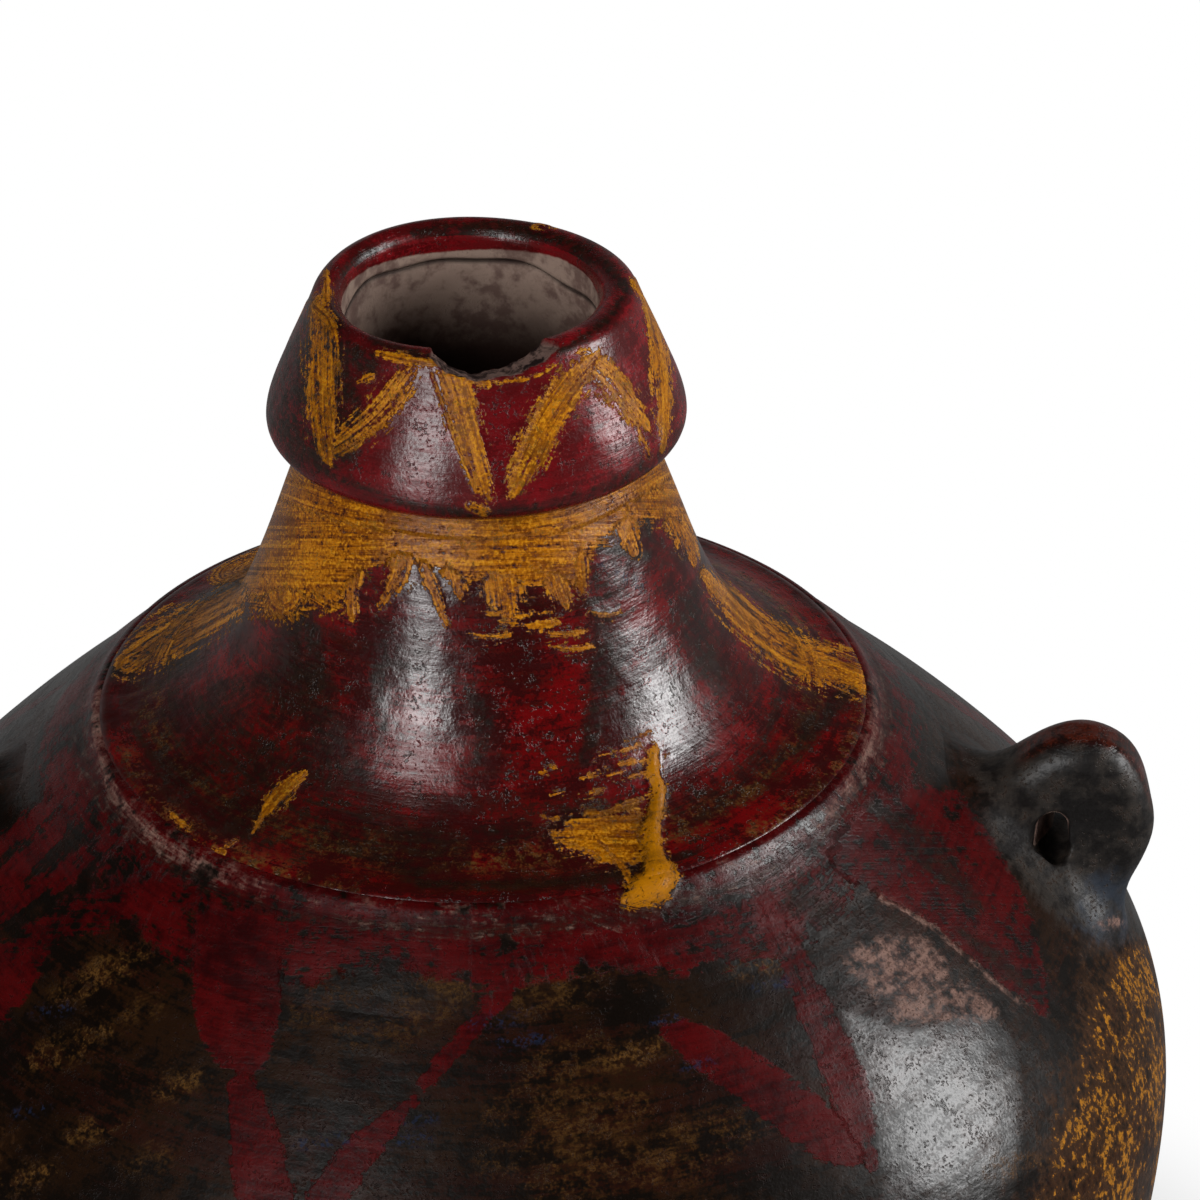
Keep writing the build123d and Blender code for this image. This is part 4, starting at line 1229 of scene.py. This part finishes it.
# %% [markdown]
# Bare clay shows in a scuffed patch below the lug, and the pale lines along the coil's ridge are painted
# sheen. Handling wore the clay at the right down to yellow, and dulled the gloss in wide areas between the
# lamps' reflections.

# %% Bare, worn and dull places, and painted sheen
patch("dome", "bare", (846, 950), (890, 930), (946, 946), (948, 985), (905, 1004), (858, 990), dry=0.2, feather=1.8)
brush("dome", "bare", (905, 1010, 20), (950, 1000, 40), (985, 1010, 20), dry=0.7, feather=2)
brush("dome", "tan", (985, 1172, 14), (1012, 1164, 34), (1040, 1166, 12))
brush("dome", "bare", (1101, 924, 8), (1118, 922, 9))
# painted sheen: pale lines along the coil's ridge, at the left and the right
brush("dome", "bare", (97, 690, 3), (98, 730, 7), (108, 785, 9), (137, 827, 9), (170, 851, 9), (212, 871, 8),
      (260, 888, 4), dry=0.85, feather=2.5)
brush("dome", "bare", (872, 680, 3), (877, 725, 7), (866, 765, 9), (840, 800, 8), (815, 822, 4),
      dry=0.88, feather=2.5)
patch("dome", "worn", (1085, 1000), (1130, 930), (1260, 880), (1260, 1300), (1000, 1300), (1040, 1150),
      dry=0.2, feather=7)
patch("dome", "matte", (640, 940), (800, 880), (1000, 740), (1090, 900), (1070, 1050), (1010, 1040), (985, 1012),
      (940, 1026), (905, 1036), (868, 1018), (790, 1004), dry=0.1, feather=5)
patch("dome", "matte", (-160, 860), (560, 905), (700, 960), (640, 1080), (640, 1320), (-160, 1320),
      dry=0.1, feather=8)
patch("dome", "matte", (560, 940), (800, 920), (842, 1000), (872, 1100), (892, 1220), (880, 1320), (560, 1320),
      dry=0.1, feather=5)
patch("dome", "matte", (992, 990), (1060, 970), (1260, 880), (1260, 1340), (985, 1340), (1008, 1200), (1022, 1120),
      (1012, 1050), dry=0.1, feather=6)
print(len(STROKES), "strokes so far")

# %% [markdown]
# The hidden side carries the same kinds of marks: diagonals down over the belly and rubbed ground.

# %% Hidden side
rng = np.random.default_rng(21)
for turn in (122, 152, 181, 211, 240):
    for way in (-1, 1):
        top, foot, size = 314 + rng.uniform(-6, 6), 196 + rng.uniform(-14, 10), rng.uniform(13, 19)
        far_brush("dome", "red", (turn + way * 13, top, 5), (turn + way * 10, top - 30, size),
                  (turn + way * 4, foot + 32, size), (turn + way, foot, 4), dry=rng.uniform(0.35, 0.6))
for turn in range(0, 360, 9):
    height, size = (rng.uniform(225, 300) if 96 < turn < 268 else 150) - rng.uniform(0, 60), rng.uniform(8, 18)
    far_brush("dome", "tan", (turn - 4, height + 3, size / 2), (turn, height, size), (turn + 4, height - 4, size / 2),
              dry=0.3, feather=1.5)
for turn in (78, 128, 163, 226, 262, 316):
    far_brush("dome", "worn", (turn - 9, 236, 40), (turn, 206, 60), (turn + 6, 170, 50), (turn + 9, 128, 30),
              dry=0.35, feather=9)
print(len(STROKES), "strokes so far")

# %% [markdown]
# Below the photo's edge a jar like this one is scuffed by setting it down, and sooty from the fire.

# %% Bowl marks
for turn in range(0, 360, 13):
    height, size = rng.uniform(30, 150), rng.uniform(20, 48)
    far_brush("dome", "dark", (turn - 9, height + 8, size / 3), (turn, height, size),
              (turn + 9, height - 6, size / 3), dry=0.45, feather=4)
for turn in range(4, 364, 17):
    height, size = rng.uniform(4, 26), rng.uniform(4, 11)
    far_brush("dome", "bare", (turn - 5, height, size / 3), (turn, height + 1, size),
              (turn + 6, height - 1, size / 3), dry=0.8, feather=2)
print(len(STROKES), "strokes so far")

# %% [markdown]
# ## Laying the paint on
#
# For each vertex we look for the nearest stroke of each layer. Paint has a body: ochre strokes stand a
# quarter of a millimetre proud, and the thick yellow run on the skirt almost three.

# %% Paint
OUTER = {"collar": collar_outline[:86], "neck": neck_outline[1:104],
         "dome": np.vstack([dome_outline[:116], bowl_outline[31:134]])}      # the painted sides of the outlines
MEAN_RADIUS = {"collar": 58.0, "neck": 85.0, "dome": 180.0}
RUN_THICKNESS, PAINT_THICKNESS = 2.8, 0.25
FULL_LOAD = 3.6                # millimetres inside its edge, a stroke carries its full load of paint
LUG_SOOT = (24.0, 52.0)        # millimetres round a lug's middle where the soot begins to thin, and ends
LUG_MIDDLE = (0.184, 0.285)    # metres out and up
HOLE_SPOT = (175.5, 290.0)     # millimetres out and up
BEHIND_NECK = -0.79            # cosine of the turn beyond which the neck hides the skirt
TUBE_WITHIN = 0.0442           # metres; what is nearer to the axis is the tube's end


def down_outline(height, name):
    """Millimetres along the outline at a height in millimetres."""
    outline = OUTER[name][np.argsort(OUTER[name][:, 1])]
    length = np.concatenate([[0], np.cumsum(np.hypot(*np.diff(outline, axis=0).T))])
    return np.interp(height, outline[:, 1], length)


def stroke_distance(spots, spine, closed, scale):
    """Distance to a stroke's edge in millimetres, its half width, and places along and across it."""
    gap, which, share = to_segments(spots, spine)
    if closed:
        distance = np.where(in_polygon(spots, spine[:-1]), -gap, gap) * scale
        return distance, np.full(len(spots), 5.0), spots[:, 0] * scale, spots[:, 1] * scale
    run = spine[which + 1, :2] - spine[which, :2]
    length = np.concatenate([[0], np.cumsum(np.hypot(*np.diff(spine[:, :2], axis=0).T))])
    half = (spine[which, 2] * (1 - share) + spine[which + 1, 2] * share) / 2 * scale
    off = spots - spine[which, :2]
    across = np.sign(run[:, 0] * off[:, 1] - run[:, 1] * off[:, 0]) * gap * scale
    return gap * scale - half, half, (length[which] + share * np.hypot(*run.T)) * scale, across


for name in OUTER:
    print(name, "is", down_outline(RIM_HEIGHT, name).round(1), "mm along its painted side")

# %% [markdown]
# A brush loaded with paint covers fully from a few millimetres inside its edge. The nearest stroke also
# gives the direction of the bristles.

# %% Nearest strokes
def find_paint(places, height, name, seen, shown):
    """Distances to the nearest stroke of each layer, and the bristles' directions."""
    count = len(places)
    turn = np.arctan2(places[:, 0], -places[:, 1]) % (2 * math.pi)
    radius = MEAN_RADIUS[name]
    views = {"photo": photo_place(places), "round": np.column_stack([turn * radius, down_outline(height, name)])}
    depth = {key: np.full(count, 25.0) for key in LAYERS + ("run",)}
    half_run, trace, nearest = np.ones(count), np.zeros((count, 3)), np.full(count, 25.0)
    for number, (where, layer, view, spine, closed, dry, feather) in enumerate(STROKES):
        if where != name:
            continue
        if view == "round":
            spine = np.column_stack([np.radians(spine[:, 0]) * radius, down_outline(spine[:, 1], name), spine[:, 2]])
        scale = PIXEL if view == "photo" else 1.0
        reach = 10 * feather / scale + spine[:, 2:].max(initial=0)
        spots = views[view]
        near = ((spots > spine[:, :2].min(0) - reach) & (spots < spine[:, :2].max(0) + reach)).all(1)
        near = np.flatnonzero(near & (seen if view == "photo" else shown))
        distance, half, along, across = stroke_distance(spots[near], spine, closed, scale)
        fuller = np.maximum(1, FULL_LOAD / np.maximum(half / feather, 0.3))      # thin strokes are loaded too
        distance = np.where(distance < 0, distance * fuller, distance) / feather
        distance = np.maximum(distance, -FULL_LOAD * (1 - dry))
        if layer == "run":
            half_run[near] = half
        closer = (distance < nearest[near]) & (layer not in ("matte", "worn", "dark"))
        nearest[near[closer]] = distance[closer]
        trace[near[closer]] = np.column_stack([along, across, np.full(len(near), number * 37.0)])[closer] / 1000
        depth[layer][near] = np.minimum(depth[layer][near], distance)
    return depth, half_run, trace


print(len(STROKES), "strokes and patches to look through")

# %% [markdown]
# The masks come from the shape: what faces inward has no slip, and the soot gathers round the lugs.

# %% Masks and relief
def lay_paint(piece, name, ear=False):
    """Stores the layers and masks on a piece, and lifts its skin under thick paint."""
    places, normals = vertices_of(piece), vertices_of(piece, "normal")
    reach, height = np.hypot(places[:, 0], places[:, 1]), places[:, 2] * 1000
    turn = np.arctan2(places[:, 0], -places[:, 1])
    outward = (normals[:, :2] * places[:, :2]).sum(1) / np.maximum(reach, 1e-6)
    under = height
    if piece is lute:                                  # the coil takes the paint of the shoulder below it
        under = np.interp(reach * 1000, dome_outline[:68, 0], dome_outline[:68, 1])
    shown = (outward > 0.1) | (normals[:, 2] > 0.35)
    seen = shown & (((np.array(eye) - places) * normals).sum(1) > 0)
    if name == "neck":                                 # the skirt's far side is hidden behind the neck
        seen &= np.cos(turn) > BEHIND_NECK
    depth, half_run, trace = find_paint(places, under, name, seen, shown)
    depth["ochre"] = np.minimum(depth["ochre"], depth["run"] - 1.2)
    bead = np.clip(1 + depth["run"] / FULL_LOAD, 0, 1)
    relief = PAINT_THICKNESS * step(depth["ochre"], 0.6, -2.4)
    run = np.minimum(RUN_THICKNESS, half_run) * np.sqrt(1 - bead ** 2)
    relief = np.maximum(relief, np.where(depth["run"] < 0, run, 0))
    depth["run"] = step(depth["run"], 1.4, 0.6)
    depth["inside"] = step(outward, -0.3, -0.7) * step(RIM_HEIGHT - height + 1.2 * np.sin(3 * turn + 1), 5.6, 8.2)
    depth["chip"] = chip_share.get(piece.name, np.zeros(len(places)))
    if name in ("collar", "neck"):
        within = (reach < TUBE_WITHIN) & (height < tube_end + 3.0)
        depth["inside"] = np.maximum(depth["inside"], within)
    # painted shade, darker further down inside the mouth
    depth["deep"] = step(RIM_HEIGHT - height, 8, 60)
    depth["seam"] = step(np.abs(height - tube_end - seam_wave(turn)), 1.0, 0.4) * (reach < 0.044)
    lug_middle = np.column_stack([np.abs(places[:, 0]) - LUG_MIDDLE[0], places[:, 1], places[:, 2] - LUG_MIDDLE[1]])
    from_lug = np.linalg.norm(lug_middle, axis=1) * 1000
    depth["smoke"] = step(from_lug, LUG_SOOT[1], LUG_SOOT[0])
    depth["ridge"] = np.zeros(len(places))
    radius = MEAN_RADIUS[name]
    skin = np.column_stack([np.sin(turn) * radius, -np.cos(turn) * radius, down_outline(under, name)]) / 1000
    if ear:
        depth["ridge"] = step(np.abs(normals[:, 1]), 0.55, 0.3) * step(height, 292, 304)
        depth["ridge"] *= step(above_shoulder(reach * 1000, height), 13, 22)
        into = places[:, 1] * np.sign(places[:, 0]) * 1000
        aside = np.abs(places[:, 0]) * 1000 - HOLE_SPOT[0] - HOLE_SLANT * (into + SLANT_FROM)
        from_hole = np.hypot(aside, height - HOLE_SPOT[1])
        depth["inside"] = step(from_hole, 7.8, 6.8) * step(np.abs(into), 13.0, 11.0)
        # painted shade, darker towards the middle of the hole
        depth["deep"] = 0.6 * step(np.abs(into), 6.0, -2.0)
    move_vertices(piece, places + normals * relief[:, None] / 1000)
    for key in LAYERS + MASKS:
        piece.data.attributes.new(key, "FLOAT", "POINT").data.foreach_set("value", depth[key].astype(np.float32))
    for key, values in (("stroke", trace), ("skin", skin)):
        stored = piece.data.attributes.new(key, "FLOAT_VECTOR", "POINT")
        stored.data.foreach_set("vector", values.astype(np.float32).ravel())
    ochre, red = (int((depth[key] < 0).sum()) for key in ("ochre", "red"))
    print(piece.name, "has", ochre, "vertices under ochre,", red, "under red")


for piece, name in ((collar, "collar"), (neck, "neck"), (dome, "dome"), (lute, "dome"), (bowl, "dome"),
                    (lug_right, "dome"), (lug_left, "dome")):
    lay_paint(piece, name, piece in (lug_right, lug_left))

# %% [markdown]
# ## A studio
#
# The reflections on the neck and the belly tell where the lamps stood: a tall soft box at the front left
# and a broad one at the right, each brighter in its middle. A weak lamp behind lights the far side, and
# its own reflection is left out. The jar stands on a white sweep of paper. Round it the studio is dark,
# which keeps the burnished clay deep in colour.

# %% Paper
SHEEN = 0.18                   # how bright the paper looks in the clay's gloss, which is duller than glass


def paper_glow(tree, sheen):
    """How white the paper is: 1 to the eye, and a share of that in the clay's gloss."""
    ray = add(tree, "ShaderNodeLightPath").outputs
    direct = add(tree, "ShaderNodeMath", {0: ray["Is Camera Ray"], 1: ray["Is Transmission Ray"]},
                 operation="MAXIMUM").outputs[0]
    gloss = add(tree, "ShaderNodeMath", {0: ray["Is Glossy Ray"], 1: sheen}, operation="MULTIPLY").outputs[0]
    return add(tree, "ShaderNodeMath", {0: direct, 1: gloss}, operation="MAXIMUM").outputs[0]


def white_paper():
    """It keeps the jar's shadow close by, and is plain white further off."""
    material = bpy.data.materials.new("white paper")
    material.use_nodes = True
    tree = material.node_tree
    tree.nodes.clear()
    place = add(tree, "ShaderNodeTexCoord").outputs["Object"]
    reach = add(tree, "ShaderNodeVectorMath", {0: place}, operation="LENGTH").outputs["Value"]
    far = add(tree, "ShaderNodeMapRange", {0: reach, 1: 0.22, 2: 0.36}, interpolation_type="SMOOTHSTEP").outputs[0]
    share = add(tree, "ShaderNodeMath", {0: paper_glow(tree, 1.0), 1: far}, operation="MULTIPLY").outputs[0]
    paper = add(tree, "ShaderNodeBsdfDiffuse", {"Color": linear("#E8E8E8")}).outputs[0]
    white = add(tree, "ShaderNodeEmission", {"Strength": paper_glow(tree, SHEEN)}).outputs[0]
    surface = add(tree, "ShaderNodeMixShader", {0: share, 1: paper, 2: white}).outputs[0]
    add(tree, "ShaderNodeOutputMaterial", {"Surface": surface})
    return material


def disc(name, radius, count, material):
    mesh = bpy.data.meshes.new(name)
    turns = np.linspace(0, 2 * math.pi, count, endpoint=False)
    mesh.from_pydata([(radius * math.cos(t), radius * math.sin(t), 0) for t in turns], [], [tuple(range(count))])
    mesh.materials.append(material)
    return new_object(name, mesh)


floor = disc("floor", radius=30.0, count=96, material=white_paper())
floor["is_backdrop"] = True
print(floor.name, "has", len(floor.data.vertices), "corners")

# %% [markdown]
# The sweep's paper rises behind the jar, so the gloss of the far shoulder fades upwards and has no hard
# horizon in it. The eye sees plain white everywhere.

# %% World
world = bpy.data.worlds.new("dark studio")
world.use_nodes = True
bpy.context.scene.world = world
sky = world.node_tree
sky.nodes.clear()
way = add(sky, "ShaderNodeTexCoord").outputs["Object"]             # in a world, the way a ray goes
way = add(sky, "ShaderNodeSeparateXYZ", {0: way}).outputs
behind = add(sky, "ShaderNodeMapRange", {0: way["Y"], 1: -0.1, 2: 0.6}, interpolation_type="SMOOTHSTEP").outputs[0]
rising = add(sky, "ShaderNodeMapRange", {0: way["Z"], 1: 0.6, 2: 0.0}, interpolation_type="SMOOTHSTEP").outputs[0]
edge = add(sky, "ShaderNodeMapRange", {0: way["Z"], 1: 0.03, 2: 0.0}, interpolation_type="SMOOTHSTEP").outputs[0]
sweep = add(sky, "ShaderNodeMath", {0: behind, 1: rising}, operation="MULTIPLY").outputs[0]
sweep = add(sky, "ShaderNodeMath", {0: sweep, 1: edge}, operation="MAXIMUM").outputs[0]
sweep = add(sky, "ShaderNodeMath", {0: sweep, 1: SHEEN}, operation="MULTIPLY").outputs[0]
tint = add(sky, "ShaderNodeMix", {0: paper_glow(sky, sweep), 6: linear("#242424"), 7: (1, 1, 1, 1)},
           data_type="RGBA").outputs[2]
background = add(sky, "ShaderNodeBackground", {"Color": tint, "Strength": 1.0}).outputs[0]
add(sky, "ShaderNodeOutputWorld", {"Surface": background})
bpy.context.scene.view_settings.view_transform = "Standard"
print("world of", len(sky.nodes), "nodes")

# %% [markdown]
# A lamp's power follows from how bright its face should look and how big that face is, so a box can
# be widened without a change of tone in its reflection.

# %% Lamps
AIM_HEIGHT = 0.33              # metres, the middle of the neck


def softbox(name, azimuth, elevation, distance, width, height, radiance):
    """A soft box aimed at the neck. Azimuth is from the photographed side towards the right lug."""
    lamp = bpy.data.lights.new(name, "AREA")
    lamp.shape = "ELLIPSE"
    lamp.size, lamp.size_y = width, height
    lamp.energy = radiance * math.pi * math.pi / 4 * width * height
    box = bpy.data.objects.new(name, lamp)
    a, e = math.radians(azimuth), math.radians(elevation)
    back = Vector((math.sin(a) * math.cos(e), -math.cos(a) * math.cos(e), math.sin(e)))
    box.location = Vector((0, 0, AIM_HEIGHT)) + distance * back
    box.rotation_euler = back.to_track_quat("Z", "Y").to_euler()
    bpy.context.scene.collection.objects.link(box)
    print(name, "gives", round(lamp.energy, 2), "W")
    return box


softbox("soft box left", -28, 22, 1.5, 0.62, 1.50, 3.6)
softbox("its bright middle", -28, 26, 1.49, 0.40, 0.90, 9.5)
softbox("soft box right", 86, 21, 1.4, 0.80, 0.95, 4.5)
softbox("its bright middle", 86, 21, 1.39, 0.44, 0.64, 12.0)
fill = softbox("fill from behind", 190, 34, 1.7, 1.30, 1.00, 3.0)
fill.visible_glossy = False    # the photo shows no third reflection

# %% [markdown]
# ## Putting the pieces in place
#
# Every piece stands for its CAD piece, which is hidden, and rides on the one body. The last lines print
# the new outer size, beside the CAD part's box printed at the start.

# %% Finish
for piece, node, slot in ((bowl, "lower_bowl", "body_clay"), (dome, "shoulder_dome", "body_clay"),
                          (lute, "lute_coil", "body_clay"), (neck, "neck_cone", "neck_slip"),
                          (collar, "mouth_collar", "collar_slip"), (lug_right, "lug_right", "lug_clay"),
                          (lug_left, "lug_left", "lug_clay")):
    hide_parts(node)
    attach(piece, "root")

low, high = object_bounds()
print("visual box", [round(v, 4) for v in low], [round(v, 4) for v in high])
